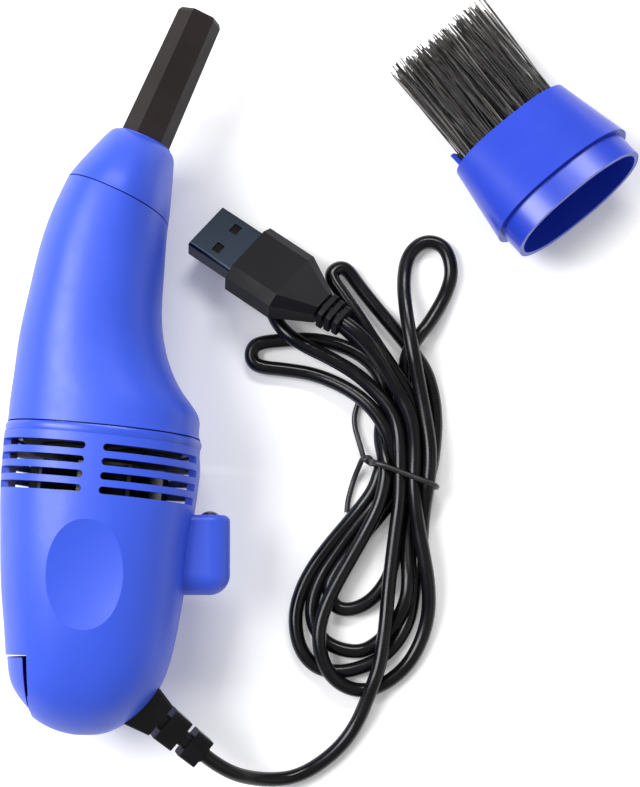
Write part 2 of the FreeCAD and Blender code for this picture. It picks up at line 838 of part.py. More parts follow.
def relief_hole():
    hole = Part.Face(rounded_section(relief_neck_width + 2 * relief_fit, relief_neck_depth + 2 * relief_fit,
                                     0.9, -4.0)).extrude(Vector(12, 0, 0))
    recess_width = relief_flange_width + 2 * relief_fit
    recess_depth_size = relief_flange_depth + 2 * relief_fit
    recess = Part.Face(rounded_section(recess_width, recess_depth_size, 1.0,
                                       relief_flange_start - 2)).extrude(
        Vector(2 + relief_flange_length + relief_fit, 0, 0))
    hole = hole.fuse(recess)
    hole.Placement = relief_placement()
    return hole


def board_rails(cavity):
    """Two short rails that hold the board on edge."""
    rails = []
    for side in (-1, 1):
        z_low, z_high = sorted((side * (board_half_depth - board_slot_depth), side * 20))
        back = board_face - board_thickness
        rail = slab(rail_left, rail_right, back - rail_wall, board_face + rail_wall, z_low, z_high)
        groove = slab(rail_left - 1, rail_right + 1, back - board_slot_gap, board_face + board_slot_gap,
                      -board_half_depth - board_slot_gap, board_half_depth + board_slot_gap)
        rails.append(rail.common(cavity).cut(groove))
    return rails


def switch_shelf(cavity):
    """A low wall under and over the switch, from the shells."""
    walls = []
    for side in (-1, 1):
        z_low, z_high = sorted((side * (switch_half_depth + 0.1), side * 20))
        wall = slab(switch_x + 1.0, switch_x + switch_length, switch_y - 0.8, switch_y + 0.8, z_low, z_high)
        walls.append(wall.common(cavity))
    return walls


def rear_body():
    """Both halves in one, before they are parted."""
    cavity = rear_cavity()
    inner_form = cavity.fuse(pod_cavity())
    body = rear_outer().fuse(pod_outer())
    body = body.cut(inner_form)
    reach = oval_loft(rear_stations[:-tail_wall_stations], grow=-body_wall + 0.3, back=-4.0)
    ribs = cradle_ribs(reach)
    posts = screw_bosses(reach)
    ears = pivot_ears(reach)
    body = body.fuse(ribs + posts + ears + board_rails(reach) + switch_shelf(reach))
    body = body.cut(button_region(0.0, 0.0, 0.0).cut(ear_guard()))
    body = body.cut(slot_cutters())
    for side in (-1, 1):
        body = body.cut(thumb_recess(side))
    pin_way = Part.makeCylinder(pivot_pin_radius + 0.02, 2 * pivot_pin_half_length + 0.2,
                                Vector(pivot_x, pivot_y, -pivot_pin_half_length - 0.1))
    lamp_seat = motor_rod(lamp_radius + lamp_fit, pod_front - 6, pod_front + 1, pod_x)
    flange_seat = motor_rod(lamp_flange + lamp_fit, pod_front - pod_wall - 2.6, pod_front - pod_wall, pod_x)
    body = body.cut([pin_way, relief_hole(), lamp_seat, flange_seat])
    return body


def ear_guard():
    """Keeps the pivot ears whole where the button's corner is cut away."""
    return slab(pivot_x - ear_half_size, pivot_x + ear_half_size, pivot_y - ear_half_size,
                pivot_y + ear_half_size, -9.5, 9.5)


def screw_holes():
    holes = []
    for x, y in shell_screw_places:
        clear = Part.makeCylinder(shell_screw_radius + 0.15, 40, Vector(x, y, -40))
        pilot = Part.makeCylinder(shell_screw_hole, shell_screw_half_length + 0.6, Vector(x, y, 0))
        head = Part.makeCylinder(shell_screw_head + 0.2, 30, Vector(x, y, -shell_screw_half_length - 30))
        holes.append(clear.fuse([pilot, head]))
    return holes


def rear_shells():
    body = rear_body().cut(screw_holes())
    upper = body.common(slab(-beyond, beyond, -2 * beyond, beyond, 0, beyond))
    lower = body.common(slab(-beyond, beyond, -2 * beyond, beyond, -beyond, 0))
    return upper, lower


def intake_plate():
    ring = slab(-beyond, beyond, plate_front - plate_thickness, plate_front, -beyond, beyond)
    hole = motor_rod(intake_radius, plate_front - 5, plate_front + 5)
    return along_motor(ring.cut(hole)).common(chamber_form())


def motor_bracket():
    plate = slab(-beyond, beyond, bracket_front - bracket_thickness, bracket_front, -beyond, beyond)
    boss_hole = motor_rod(bracket_hole_radius, bracket_front - 5, bracket_front + 5)
    cuts = [boss_hole]
    for side in (-1, 1):
        cuts.append(motor_rod(bracket_screw_radius + 0.1, bracket_front - 5, bracket_front + 5,
                              side * bracket_screw_offset))
        middle = side * bracket_vent_height
        cuts.append(slab(-bracket_vent_half_width, bracket_vent_half_width, bracket_front - 5,
                         bracket_front + 5, middle - bracket_vent_half_depth,
                         middle + bracket_vent_half_depth))
    return along_motor(plate.cut(cuts)).common(chamber_form())


# ================================================================ fan and motor
def impeller():
    back = motor_rod(fan_radius, fan_back, fan_back + fan_back_thickness)
    hub = motor_rod(fan_hub_radius, fan_back, fan_front + 0.4)
    blades = []
    for index in range(fan_blades):
        length = fan_radius - fan_hub_radius - 0.2
        blade = slab(0, length, fan_back + fan_back_thickness / 2, fan_front,
                     -fan_blade_thickness / 2, fan_blade_thickness / 2)
        blade.rotate(Vector(0, 0, 0), Vector(0, 1, 0), fan_blade_pitch)
        blade.translate(Vector(fan_hub_radius - fan_blade_sink, 0, 0))
        blade.rotate(Vector(0, 0, 0), Vector(0, 1, 0), 360.0 / fan_blades * index)
        blades.append(blade)
    wheel = back.fuse([hub] + blades)
    wheel = wheel.common(motor_rod(fan_radius, fan_back - 1, fan_front + 2))
    bore = motor_rod(shaft_radius, fan_back - 1, fan_front + 2)
    return along_motor(wheel.cut(bore))


def motor_shaft():
    back_end = motor_front - motor_length - 1.4
    return along_motor(motor_rod(shaft_radius, back_end, fan_front + 0.1))


def motor_rotor():
    start = motor_front - motor_length + 5.0
    core = motor_rod(rotor_radius, start, motor_front - 4.0)
    slots = []
    for index in range(rotor_slots):
        slot = slab(-rotor_slot_half_width, rotor_slot_half_width, start - 1, motor_front,
                    rotor_radius - rotor_slot_depth, rotor_radius + 1)
        slot.rotate(Vector(0, 0, 0), Vector(0, 1, 0), 360.0 / rotor_slots * index)
        slots.append(slot)
    bore = motor_rod(shaft_radius, start - 1, motor_front)
    return along_motor(core.cut(slots + [bore]))


def motor_can():
    back = motor_front - motor_length
    outer = motor_outline(0.0, back, motor_front)
    inner = motor_outline(-motor_wall, back - 1, motor_front - motor_wall)
    boss = motor_rod(motor_boss_radius, motor_front - 0.1, motor_front + motor_boss_length)
    can = outer.cut(inner).fuse(boss)
    cuts = [motor_rod(bush_radius + bush_fit, motor_front - 5, motor_front + 5)]
    for side in (-1, 1):
        cuts.append(motor_rod(bracket_screw_radius - 0.02, motor_front - 5, motor_front + 5,
                              side * bracket_screw_offset))
    return along_motor(can.cut(cuts))


def motor_bush():
    bush = motor_rod(bush_radius, motor_front - motor_wall - bush_tail, motor_front + motor_boss_length)
    return along_motor(bush.cut(motor_rod(shaft_radius + shaft_fit, motor_front - 5, motor_front + 5)))


def motor_magnets():
    start = motor_front - motor_length + 4.0
    end = motor_front - 2.0
    outer = motor_outline(-motor_wall - magnet_fit, start, end)
    inner = motor_rod(motor_radius - motor_wall - magnet_thickness, start - 1, end + 1)
    gap = slab(-magnet_gap_half_width, magnet_gap_half_width, start - 1, end + 1, -beyond, beyond)
    return along_motor(outer.cut([inner, gap]))


def motor_end_cap():
    back = motor_front - motor_length
    cap = motor_outline(0.0, back - end_cap_length, back - 0.02)
    plug = motor_outline(-motor_wall - magnet_fit, back - 0.5, back + end_plug_length)
    boss = motor_rod(end_boss_radius, back - end_cap_length - end_boss_length, back)
    cap = cap.fuse([plug, boss])
    cuts = [motor_rod(shaft_radius + shaft_fit, back - 1.5, back + 4)]
    for side in (-1, 1):
        middle = side * terminal_offset
        half_width = terminal_half_width + terminal_fit
        half_thickness = terminal_half_thickness + terminal_fit
        cuts.append(slab(middle - half_width, middle + half_width, back - 6, back + 1.2,
                         -half_thickness, half_thickness))
    return along_motor(cap.cut(cuts))


def terminal_end(side):
    """The middle of a tab's free end."""
    back = motor_front - motor_length - end_cap_length - terminal_length
    return along_motor(Part.Vertex(side * terminal_offset, back, 0)).Point


def motor_terminals():
    back = motor_front - motor_length
    tabs = []
    for side in (-1, 1):
        middle = side * terminal_offset
        tab = slab(middle - terminal_half_width, middle + terminal_half_width,
                   back - end_cap_length - terminal_length, back + 1.0,
                   -terminal_half_thickness, terminal_half_thickness)
        tabs.append(along_motor(tab))
    return Part.makeCompound(tabs)


def bracket_screws():
    screws = []
    for side in (-1, 1):
        x = side * bracket_screw_offset
        shank = motor_rod(bracket_screw_radius - 0.05, motor_front - 2.0, bracket_front + 0.02, x)
        screws.append(along_motor(shank))
    return Part.makeCompound(screws)


def motor_pad():
    """A soft sleeve round the back of the motor."""
    start = rib_positions[1] + rib_thickness / 2 + pad_gap
    outer = motor_outline(pad_gap + pad_wall, start, start + pad_length)
    inner = motor_outline(pad_gap, start - 1, start + pad_length + 1)
    return along_motor(outer.cut(inner))


# ================================================================ switch, button and electrics
def shell_screws():
    screws = []
    for x, y in shell_screw_places:
        shank = Part.makeCylinder(shell_screw_radius, 2 * shell_screw_half_length,
                                  Vector(x, y, -shell_screw_half_length))
        head = Part.makeCylinder(shell_screw_head, shell_screw_head_height,
                                 Vector(x, y, -shell_screw_half_length - shell_screw_head_height))
        bottom = -shell_screw_half_length - shell_screw_head_height
        arms = []
        for turn in (0, 90):
            arm = slab(-screw_cross_half_length, screw_cross_half_length, -screw_cross_half_width,
                       screw_cross_half_width, -0.1, screw_cross_depth)
            arm.rotate(Vector(0, 0, 0), Vector(0, 0, 1), turn)
            arm.translate(Vector(x, y, bottom))
            arms.append(arm)
        screws.append(shank.fuse(head).cut(arms))
    return Part.makeCompound(screws)


def power_button():
    """A paddle that wraps the rear corner, with two lugs on the pivot pin and a nub for the switch."""
    outer = rear_outer()
    outer.translate(Vector(button_inset_x, button_inset_y, 0))
    inner = oval_loft(rear_stations[:-1], grow=-button_wall, back=2.0)
    region = button_region(button_gap_far, button_gap_near, button_top_gap)
    skin = outer.cut(inner).common(region)
    inside = oval_loft(rear_stations[:-1], grow=-button_wall + 0.4, back=2.0)
    clear_inside = oval_loft(rear_stations[:-1], grow=-body_wall - lug_clearance, back=2.0)
    lugs = []
    for side in (-1, 1):
        z_low, z_high = sorted((side * lug_inner, side * lug_outer))
        root = slab(-beyond, button_edge_x - 0.6, pivot_y - lug_half_width, pivot_y + lug_half_width,
                    z_low, z_high)
        eye = slab(button_edge_x - 1.2, pivot_x + 1.4, pivot_y - lug_half_width, pivot_y + lug_half_width,
                   z_low, z_high)
        lugs.append(root.common(inside))
        lugs.append(eye.common(clear_inside))
    nub_end = switch_x - plunger_reach - plunger_gap
    nub = slab(-beyond, nub_end, switch_y - nub_half_width, switch_y + nub_half_width,
               -nub_half_depth, nub_half_depth).common(inside)
    pin_way = Part.makeCylinder(pivot_pin_radius + pivot_fit, 30, Vector(pivot_x, pivot_y, -15))
    return skin.fuse(lugs + [nub]).cut(pin_way)


def button_pin():
    return Part.makeCylinder(pivot_pin_radius, 2 * pivot_pin_half_length,
                             Vector(pivot_x, pivot_y, -pivot_pin_half_length))


def switch_body():
    block = slab(switch_x, switch_x + switch_length, switch_y - switch_half_width,
                 switch_y + switch_half_width, -switch_half_depth, switch_half_depth)
    way = plunger_half_size + plunger_fit
    well = slab(switch_x - 1, switch_x + 2.6 + plunger_travel, switch_y - way, switch_y + way, -way, way)
    legs = []
    for side in (-1, 1):
        middle = switch_y + side * switch_leg_offset
        root = switch_x + switch_length
        legs.append(slab(root - 0.1, root + switch_leg_length, middle - switch_leg_half_width,
                         middle + switch_leg_half_width, -0.25, 0.25))
    return block.cut(well).fuse(legs)


def switch_plunger():
    return slab(switch_x - plunger_reach, switch_x + 2.5, switch_y - plunger_half_size,
                switch_y + plunger_half_size, -plunger_half_size, plunger_half_size)


def circuit_board():
    return slab(board_left, board_right, board_face - board_thickness, board_face,
                -board_half_depth, board_half_depth)


def resistor():
    x = resistor_x
    y = board_face + resistor_radius + 0.15
    body = Part.makeCylinder(resistor_radius, resistor_length, Vector(x, y, -resistor_length / 2))
    legs = []
    for side in (-1, 1):
        z = side * (resistor_length / 2 + 0.5)
        legs.append(rod(0.25, Vector(x, y, side * 1.5), Vector(x, y, z)))
        legs.append(rod(0.25, Vector(x, y + 0.1, z), Vector(x, board_face, z)))
    return body.fuse(legs)


def led_lamp():
    """A clear dome on a short barrel, with a rim behind the pod's front wall."""
    dome_centre = pod_front + lamp_proud - lamp_radius
    dome = Part.makeSphere(lamp_radius, Vector(pod_x, dome_centre, 0))
    barrel = motor_rod(lamp_radius, pod_front + lamp_proud - lamp_length, dome_centre, pod_x)
    rim = motor_rod(lamp_flange, pod_front - pod_wall - 1.2, pod_front - pod_wall - 0.2, pod_x)
    return dome.fuse([barrel, rim])


def lamp_leads():
    """Two leads from the lamp, past the right screw post, to the board."""
    back = pod_front + lamp_proud - lamp_length
    routes = []
    for side in (-1, 1):
        z = side * lead_wire_spacing / 2
        routes.append((
            (pod_x, back, z),
            (pod_x, back - 1.3, z),
            (lead_wire_x, back - 1.3, z),
            (lead_wire_x, -31.8, z),
            (11.6, -40.5, z),
            (8.5, -43.4, z),
            (8.5, board_face, z),
        ))
    return wires_along(routes, lead_wire_radius)


def motor_wires():
    """Wires from the motor's tabs to the board and the switch, and from the switch to the board."""
    right_tab = terminal_end(1)
    left_tab = terminal_end(-1)
    leg_end = switch_x + switch_length + switch_leg_length
    leg_top = switch_y + switch_leg_offset + switch_leg_half_width
    back = board_face - board_thickness
    routes = (
        (
            tuple(right_tab),
            (right_tab.x - 0.12, right_tab.y - 1.4, 0),
            (right_tab.x, board_face + 0.02, 0),
        ),
        (
            tuple(left_tab),
            (left_tab.x - 0.12, wire_turn_y, 0),
            (leg_end - 0.5, wire_turn_y, 0),
            (leg_end - 0.5, leg_top, 0),
        ),
        (
            (leg_end, switch_y - switch_leg_offset, 0),
            (leg_end + 1.8, switch_y - switch_leg_offset, 0),
            (leg_end + 1.8, back, 0),
        ),
    )
    return wires_along(routes, wire_radius)


def relief_point(distance, across=0.0):
    return relief_placement().multVec(Vector(distance, across, 0))


def supply_wires():
    """The cord's two cores, from the strain relief's inner end to the board."""
    routes = []
    for side in (-1, 1):
        start = relief_point(relief_flange_start, side * 1.0)
        bend = relief_point(relief_flange_start - 2.6, side * 1.0)
        routes.append((tuple(start), tuple(bend), (bend.x, board_face - board_thickness, bend.z)))
    return wires_along(routes, wire_radius)


def relief_block(start, length, width_in, depth_in, width_out, depth_out, corner):
    first = rounded_section(width_in, depth_in, corner, start)
    second = rounded_section(width_out, depth_out, corner, start + length)
    return Part.makeLoft([first, second], True, True)


def strain_relief():
    """A flange inside the wall, a neck through it and flat blocks joined by a thin waist."""
    root_size = (relief_neck_width, relief_neck_depth)
    flange_size = (relief_flange_width, relief_flange_depth)
    waist_size = (relief_waist_width, relief_waist_depth)
    neck = relief_block(relief_flange_start, relief_waist_start - relief_flange_start, *root_size,
                        *root_size, 0.9)
    flange = relief_block(relief_flange_start, relief_flange_length, *flange_size, *flange_size, 1.0)
    waist = relief_block(relief_waist_start - 0.1, relief_end - relief_waist_start + 0.1, *waist_size,
                         *waist_size, 0.9)
    blocks = [relief_block(*row, relief_corner) for row in relief_blocks]
    for piece in [neck, flange, waist] + blocks:
        piece.Placement = relief_placement()
    blocks[0] = blocks[0].cut(rear_outer())
    form = neck
    for piece in [flange, waist] + blocks:
        form = form.fuse(piece)
    return form


# ================================================================ cord, hank and tie
def cord_lead():
    place = Vector(vacuum_x, vacuum_y, axis_height)
    exit_point = relief_point(relief_end) + place
    straight_end = relief_point(relief_end + lead_straight) + place
    return tube((tuple(exit_point), tuple(straight_end)) + lead_route, cord_radius, "cord_lead")


def tie_placement():
    """The tie's plane stands across the bundle; the bundle runs along local X."""
    spin = Rotation(Vector(0, 0, 1), tie_heading + 90)
    return Placement(Vector(tie_centre[0], tie_centre[1], waist_middle), spin)


def cord_hank():
    """One closed form of the folded cord: a lobe, a waist under the tie and the looped end."""
    lobe = rounded_plate(lobe_outline, hank_floor, hank_height, hank_edge)
    crown = rounded_plate(crown_outline, hank_floor, crown_height, crown_edge)
    eye = Part.Face(outline_wire(loop_eye_outline, 0.0, hank_floor - 1))
    crown = crown.cut(eye.extrude(Vector(0, 0, crown_height + 2)))
    waist = Part.Face(rounded_section(waist_width, waist_depth, waist_corner, -waist_half_length))
    waist = waist.extrude(Vector(2 * waist_half_length, 0, 0))
    waist.Placement = tie_placement()
    return waist.fuse(crown).fuse(lobe)


def plug_placement():
    spin = Rotation(Vector(0, 0, 1), plug_heading)
    pitch = Rotation(Vector(0, 1, 0), -plug_pitch)
    roll = Rotation(Vector(1, 0, 0), plug_roll)
    return Placement(Vector(*plug_tip), spin.multiply(pitch).multiply(roll))


def plug_length():
    return plug_shell_exposed + overmold_straight + overmold_taper + neck_ribs * neck_rib_pitch


def plug_lead():
    back = plug_placement().multVec(Vector(plug_length(), 0, 0))
    behind = plug_placement().multVec(Vector(plug_length() + plug_lead_straight, 0, 0))
    return tube((tuple(back), tuple(behind), plug_lead_end), cord_radius, "plug_lead")


def tie_loop():
    """A flat band once round the waist, with rounded rims."""
    band = 2 * tie_radius
    inner_grow = 2 * tie_gap
    outer_grow = inner_grow + 2 * band
    outer = Part.Face(rounded_section(waist_width + outer_grow, waist_depth + outer_grow,
                                      waist_corner + outer_grow / 2, -tie_radius))
    outer = outer.extrude(Vector(band, 0, 0))
    inner = Part.Face(rounded_section(waist_width + inner_grow, waist_depth + inner_grow,
                                      waist_corner + inner_grow / 2, -tie_radius - 1))
    inner = inner.extrude(Vector(band + 2, 0, 0))
    rims = [e for e in outer.Edges if abs(e.BoundBox.XLength) < 0.001]
    loop = outer.makeFillet(tie_radius * 0.6, rims).cut(inner)
    loop.Placement = tie_placement()
    return loop


def cord_tie():
    tie = Part.makeSphere(tie_knot_radius, Vector(*tie_upper_tail[0]))
    for piece in [tie_loop()] + wires_along((tie_upper_tail, tie_lower_tail), tie_radius).Solids:
        tie = tie.fuse(piece)
    return tie


# ================================================================ plug
def plug_shell():
    length = plug_shell_exposed + plug_shell_buried
    outer = Part.Face(rounded_section(plug_shell_width, plug_shell_depth, 0.6, 0))
    outer = outer.extrude(Vector(length, 0, 0))
    bore_width = plug_shell_width - 2 * plug_shell_wall
    bore_depth = plug_shell_depth - 2 * plug_shell_wall
    bore = Part.Face(rounded_section(bore_width, bore_depth, 0.35, -1)).extrude(Vector(length + 2, 0, 0))
    shell = outer.cut(bore)
    for side in (-1, 1):
        middle = side * plug_window_spacing / 2
        window = slab(plug_window_centre - plug_window * 0.4, plug_window_centre + plug_window * 0.4,
                      middle - plug_window / 2, middle + plug_window / 2, -5, 5)
        shell = shell.cut(window)
    shell.Placement = plug_placement()
    return shell


def plug_tongue():
    top = plug_shell_depth / 2 - plug_shell_wall - 0.03
    tongue = slab(tongue_setback, tongue_setback + tongue_length, -tongue_width / 2, tongue_width / 2,
                  top - tongue_depth, top)
    heel = slab(plug_shell_exposed - 1.5, tongue_setback + tongue_length, -tongue_width / 2, tongue_width / 2,
                -plug_shell_depth / 2 + plug_shell_wall + 0.03, top)
    tongue = tongue.fuse(heel)
    tongue.Placement = plug_placement()
    return tongue


def plug_contacts():
    strips = []
    surface = plug_shell_depth / 2 - plug_shell_wall - 0.03 - tongue_depth
    for y in contact_spread:
        strip = slab(tongue_setback + 1.0, tongue_setback + 1.0 + contact_length, y - contact_width / 2,
                     y + contact_width / 2, surface - contact_thickness, surface)
        strip.Placement = plug_placement()
        strips.append(strip)
    return Part.makeCompound(strips)


def overmold_section(width, depth, panel_half, bevel, x):
    half_w = width / 2
    half_d = depth / 2
    corners = [
        Vector(x, panel_half, half_d), Vector(x, half_w, half_d - bevel), Vector(x, half_w, bevel - half_d),
        Vector(x, panel_half, -half_d), Vector(x, -panel_half, -half_d), Vector(x, -half_w, bevel - half_d),
        Vector(x, -half_w, half_d - bevel), Vector(x, -panel_half, half_d),
    ]
    corners.append(corners[0])
    return Part.makePolygon(corners)


def plug_overmold():
    start = plug_shell_exposed
    straight_end = start + overmold_straight
    taper_end = straight_end + overmold_taper
    full = (overmold_width, overmold_depth, overmold_panel_half, overmold_bevel)
    thin = (neck_width, neck_depth, neck_width / 2 - 1.4, 1.4)
    front = overmold_section(*full, start)
    shoulder = overmold_section(*full, straight_end)
    body = Part.makeLoft([front, shoulder], True, True)
    taper = Part.makeLoft([shoulder, overmold_section(*thin, taper_end)], True, True)
    neck_end = taper_end + neck_ribs * neck_rib_pitch
    core = Part.makeCylinder(cord_radius + 0.5, neck_end - taper_end + 1, Vector(taper_end - 1, 0, 0),
                             Vector(1, 0, 0))
    ribs = []
    for index in range(neck_ribs):
        rib_start = taper_end + neck_rib_gap + index * neck_rib_pitch
        rib = Part.Face(rounded_section(neck_width - 0.5 * index, neck_depth - 0.4 * index, 1.2, rib_start))
        ribs.append(rib.extrude(Vector(neck_rib_pitch - neck_rib_gap, 0, 0)))
    overmold = body.fuse([taper, core] + ribs)
    pocket_width = plug_shell_width + 0.02
    pocket_depth = plug_shell_depth + 0.02
    pocket = Part.Face(rounded_section(pocket_width, pocket_depth, 0.6, start - 1)).extrude(
        Vector(plug_shell_buried + 1.02, 0, 0))
    overmold = overmold.cut(pocket)
    overmold.Placement = plug_placement()
    return overmold


# ================================================================ brush attachment
def brush_placement():
    """The brush is built along X, from its bristle end at 0 towards its open end."""
    spin = Rotation(Vector(0, 0, 1), brush_heading)
    raise_end = Rotation(Vector(0, 1, 0), -brush_tilt)
    lift = sleeve_tip_half_depth * math.cos(math.radians(brush_tilt)) + 0.15
    return Placement(Vector(brush_x, brush_y, lift), spin.multiply(raise_end))


def brush_oval(x, half_width, half_depth):
    power = 2.0 / body_squareness
    points = []
    for step in range(oval_points):
        angle = 2 * math.pi * step / oval_points
        c = math.cos(angle)
        s = math.sin(angle)
        points.append(Vector(x, half_width * math.copysign(abs(c) ** power, c),
                             half_depth * math.copysign(abs(s) ** power, s)))
    curve = Part.BSplineCurve()
    curve.interpolate(Points=points, PeriodicFlag=True)
    return Part.Wire([curve.toShape()])


def sleeve_form(grow, start=0.0, end=None):
    """The tapering sleeve between two places along it."""
    end = sleeve_length if end is None else end
    wires = []
    for x in (start, end):
        share = x / sleeve_length
        half_width = sleeve_tip_half_width + (mouth_half_depth - sleeve_tip_half_width) * share
        half_depth = sleeve_tip_half_depth + (mouth_half_width - sleeve_tip_half_depth) * share
        wires.append(brush_oval(x, half_width + grow, half_depth + grow))
    return Part.makeLoft(wires, True, True)


def brush_collar():
    sleeve = sleeve_form(0.0)
    spigot_grow = -mouth_wall - plug_in_gap
    spigot = Part.Face(brush_oval(sleeve_length - 1.5, mouth_half_depth + spigot_grow,
                                  mouth_half_width + spigot_grow))
    spigot = spigot.extrude(Vector(plug_in_length + 1.5, 0, 0))
    bore = Part.Face(brush_oval(sleeve_length - 2.0, mouth_half_depth + spigot_grow - collar_wall,
                                mouth_half_width + spigot_grow - collar_wall))
    bore = bore.extrude(Vector(plug_in_length + 4.0, 0, 0))
    hollow = sleeve_form(-collar_wall, -1.0, sleeve_length - 1.8)
    collar = sleeve.fuse(spigot).cut([bore, hollow])
    collar.Placement = brush_placement()
    return collar


def tuft_places():
    """The root of each tuft across the holder, as (row, y, z)."""
    places = []
    for row in range(tuft_rows):
        count = tuft_columns if row % 2 == 0 else tuft_columns - 1
        height = (row - (tuft_rows - 1) / 2) * tuft_row_pitch
        for column in range(count):
            places.append((row, (column - (count - 1) / 2) * tuft_pitch, height))
    return places


def tuft_direction(y, z):
    """Tufts fan a little and come to rest just over the table."""
    place = brush_placement()
    root = place.multVec(Vector(holder_setback, y, z))
    wanted = tuft_tip_floor + tuft_tip_layering * (z + tuft_row_pitch)
    drop = root.z - wanted
    flat = math.sqrt(max(tuft_length ** 2 - drop ** 2, 1.0))
    heading = place.Rotation.multVec(Vector(-1, 0, 0))
    heading = Rotation(Vector(0, 0, 1), -tuft_swing).multVec(heading)
    level = Vector(heading.x, heading.y, 0).normalize()
    return root, Vector(level.x * flat, level.y * flat, -drop).normalize()


def bristle_tufts():
    tufts = []
    for row, y, z in tuft_places():
        root, direction = tuft_direction(y, z)
        start = root + direction * (-tuft_socket)
        tufts.append(Part.makeCone(tuft_root_radius, tuft_tip_radius, tuft_length + tuft_socket,
                                   start, direction))
    return Part.makeCompound(tufts)


def bristle_holder():
    """A plate inside the sleeve that carries the tufts, with a lip under them."""
    plate = sleeve_form(-collar_wall - holder_gap, holder_setback, holder_setback + holder_thickness)
    lip_outer = Part.Face(brush_oval(-holder_lip, sleeve_tip_half_width - holder_lip_inset,
                                     sleeve_tip_half_depth - holder_lip_inset))
    lip_outer = lip_outer.extrude(Vector(holder_lip + holder_setback + 0.5, 0, 0))
    hole_inset = holder_lip_inset + holder_lip_wall
    lip_inner = Part.Face(brush_oval(-holder_lip - 1, sleeve_tip_half_width - hole_inset,
                                     sleeve_tip_half_depth - hole_inset))
    lip_inner = lip_inner.extrude(Vector(holder_lip + holder_setback + 1, 0, 0))
    lip = lip_outer.cut(lip_inner)
    lip = lip.cut(slab(-holder_lip - 1, -0.3, -beyond, beyond, holder_lip_top, beyond))
    holder = plate.fuse(lip)
    holder.Placement = brush_placement()
    sockets = []
    for row, y, z in tuft_places():
        root, direction = tuft_direction(y, z)
        start = root + direction * (-tuft_socket - 0.05)
        sockets.append(Part.makeCylinder(tuft_root_radius + tuft_fit, 12, start, direction))
    return holder.cut(sockets)


# ================================================================ write the pieces
def main():
    os.makedirs("parts", exist_ok=True)
    upper, lower = rear_shells()
    in_vacuum = {
        "nozzle": nozzle(),
        "nose_cap": nose_cap(),
        "front_shell": front_shell(),
        "coupling_ring": coupling_ring(),
        "filter_frame": filter_frame(),
        "filter_cloth": filter_cloth(),
        "rear_shell_upper": upper,
        "rear_shell_lower": lower,
        "intake_plate": intake_plate(),
        "impeller": impeller(),
        "motor_shaft": motor_shaft(),
        "motor_rotor": motor_rotor(),
        "motor_can": motor_can(),
        "motor_bush": motor_bush(),
        "motor_magnets": motor_magnets(),
        "motor_end_cap": motor_end_cap(),
        "motor_terminals": motor_terminals(),
        "motor_bracket": motor_bracket(),
        "bracket_screws": bracket_screws(),
        "motor_pad": motor_pad(),
        "shell_screws": shell_screws(),
        "power_button": power_button(),
        "button_pin": button_pin(),
        "switch_body": switch_body(),
        "switch_plunger": switch_plunger(),
        "circuit_board": circuit_board(),
        "resistor": resistor(),
        "led_lamp": led_lamp(),
        "lamp_leads": lamp_leads(),
        "motor_wires": motor_wires(),
        "supply_wires": supply_wires(),
        "strain_relief": strain_relief(),
    }
    on_table = {
        "cord_lead": cord_lead(),
        "cord_hank": cord_hank(),
        "plug_lead": plug_lead(),
        "cord_tie": cord_tie(),
        "plug_shell": plug_shell(),
        "plug_tongue": plug_tongue(),
        "plug_contacts": plug_contacts(),
        "plug_overmold": plug_overmold(),
        "brush_collar": brush_collar(),
        "bristle_holder": bristle_holder(),
        "bristle_tufts": bristle_tufts(),
    }
    pieces = {name: placed_in_vacuum(shape) for name, shape in in_vacuum.items()}
    pieces.update(on_table)
    for name, shape in pieces.items():
        shape.exportStep("parts/%s.step" % name)


main()
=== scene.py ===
import json
import math
import random

import bmesh
import bpy
from mathutils import Matrix, Vector


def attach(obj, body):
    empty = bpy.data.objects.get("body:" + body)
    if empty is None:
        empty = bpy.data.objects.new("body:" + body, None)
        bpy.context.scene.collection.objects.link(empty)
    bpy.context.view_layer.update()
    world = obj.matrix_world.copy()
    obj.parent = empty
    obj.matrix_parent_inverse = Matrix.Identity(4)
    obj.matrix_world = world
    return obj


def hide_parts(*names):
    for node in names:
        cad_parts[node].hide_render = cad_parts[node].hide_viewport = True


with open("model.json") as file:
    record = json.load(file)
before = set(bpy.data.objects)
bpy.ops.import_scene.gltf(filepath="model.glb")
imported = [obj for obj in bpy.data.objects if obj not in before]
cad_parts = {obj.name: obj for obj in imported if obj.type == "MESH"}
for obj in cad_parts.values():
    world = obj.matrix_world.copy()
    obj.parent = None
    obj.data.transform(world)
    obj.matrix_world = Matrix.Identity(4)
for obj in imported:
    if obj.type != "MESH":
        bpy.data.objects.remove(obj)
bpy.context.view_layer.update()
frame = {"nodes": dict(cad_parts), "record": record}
nodes = frame["nodes"]
MM = 0.001


def mm(x, y, z):
    return Vector((x * MM, y * MM, z * MM))


# ------------------------------------------------------------------ camera
camera_place = (-1.3, -54.0, 450.0)
camera_tilt = 5.96          # degrees off straight down, towards +Y
camera_lens = 97.07
camera_sensor = 36.0
camera_near, camera_far = 0.01, 5.0

camera_data = bpy.data.cameras.new("camera")
camera = bpy.data.objects.new("camera", camera_data)
bpy.context.scene.collection.objects.link(camera)
camera.location = mm(*camera_place)
camera.rotation_euler = (math.radians(camera_tilt), 0.0, 0.0)
camera_data.sensor_width = camera_sensor
camera_data.lens = camera_lens
camera_data.clip_start = camera_near
camera_data.clip_end = camera_far
bpy.context.scene.camera = camera


# ------------------------------------------------------------------ materials
# Noise scales are in cells per metre, and relief heights in metres.
drift_scale, gloss_scale, patch_scale = 55.0, 260.0, 140.0
grain_height, drawn_height, jacket_height, weave_height = 0.00004, 0.00002, 0.00003, 0.0002
coat_rough = 0.12
polish_least = 0.03
weave_bands = 0.314         # wave scale times thread pitch
weave_wander = 0.4
weave_relief = 0.8


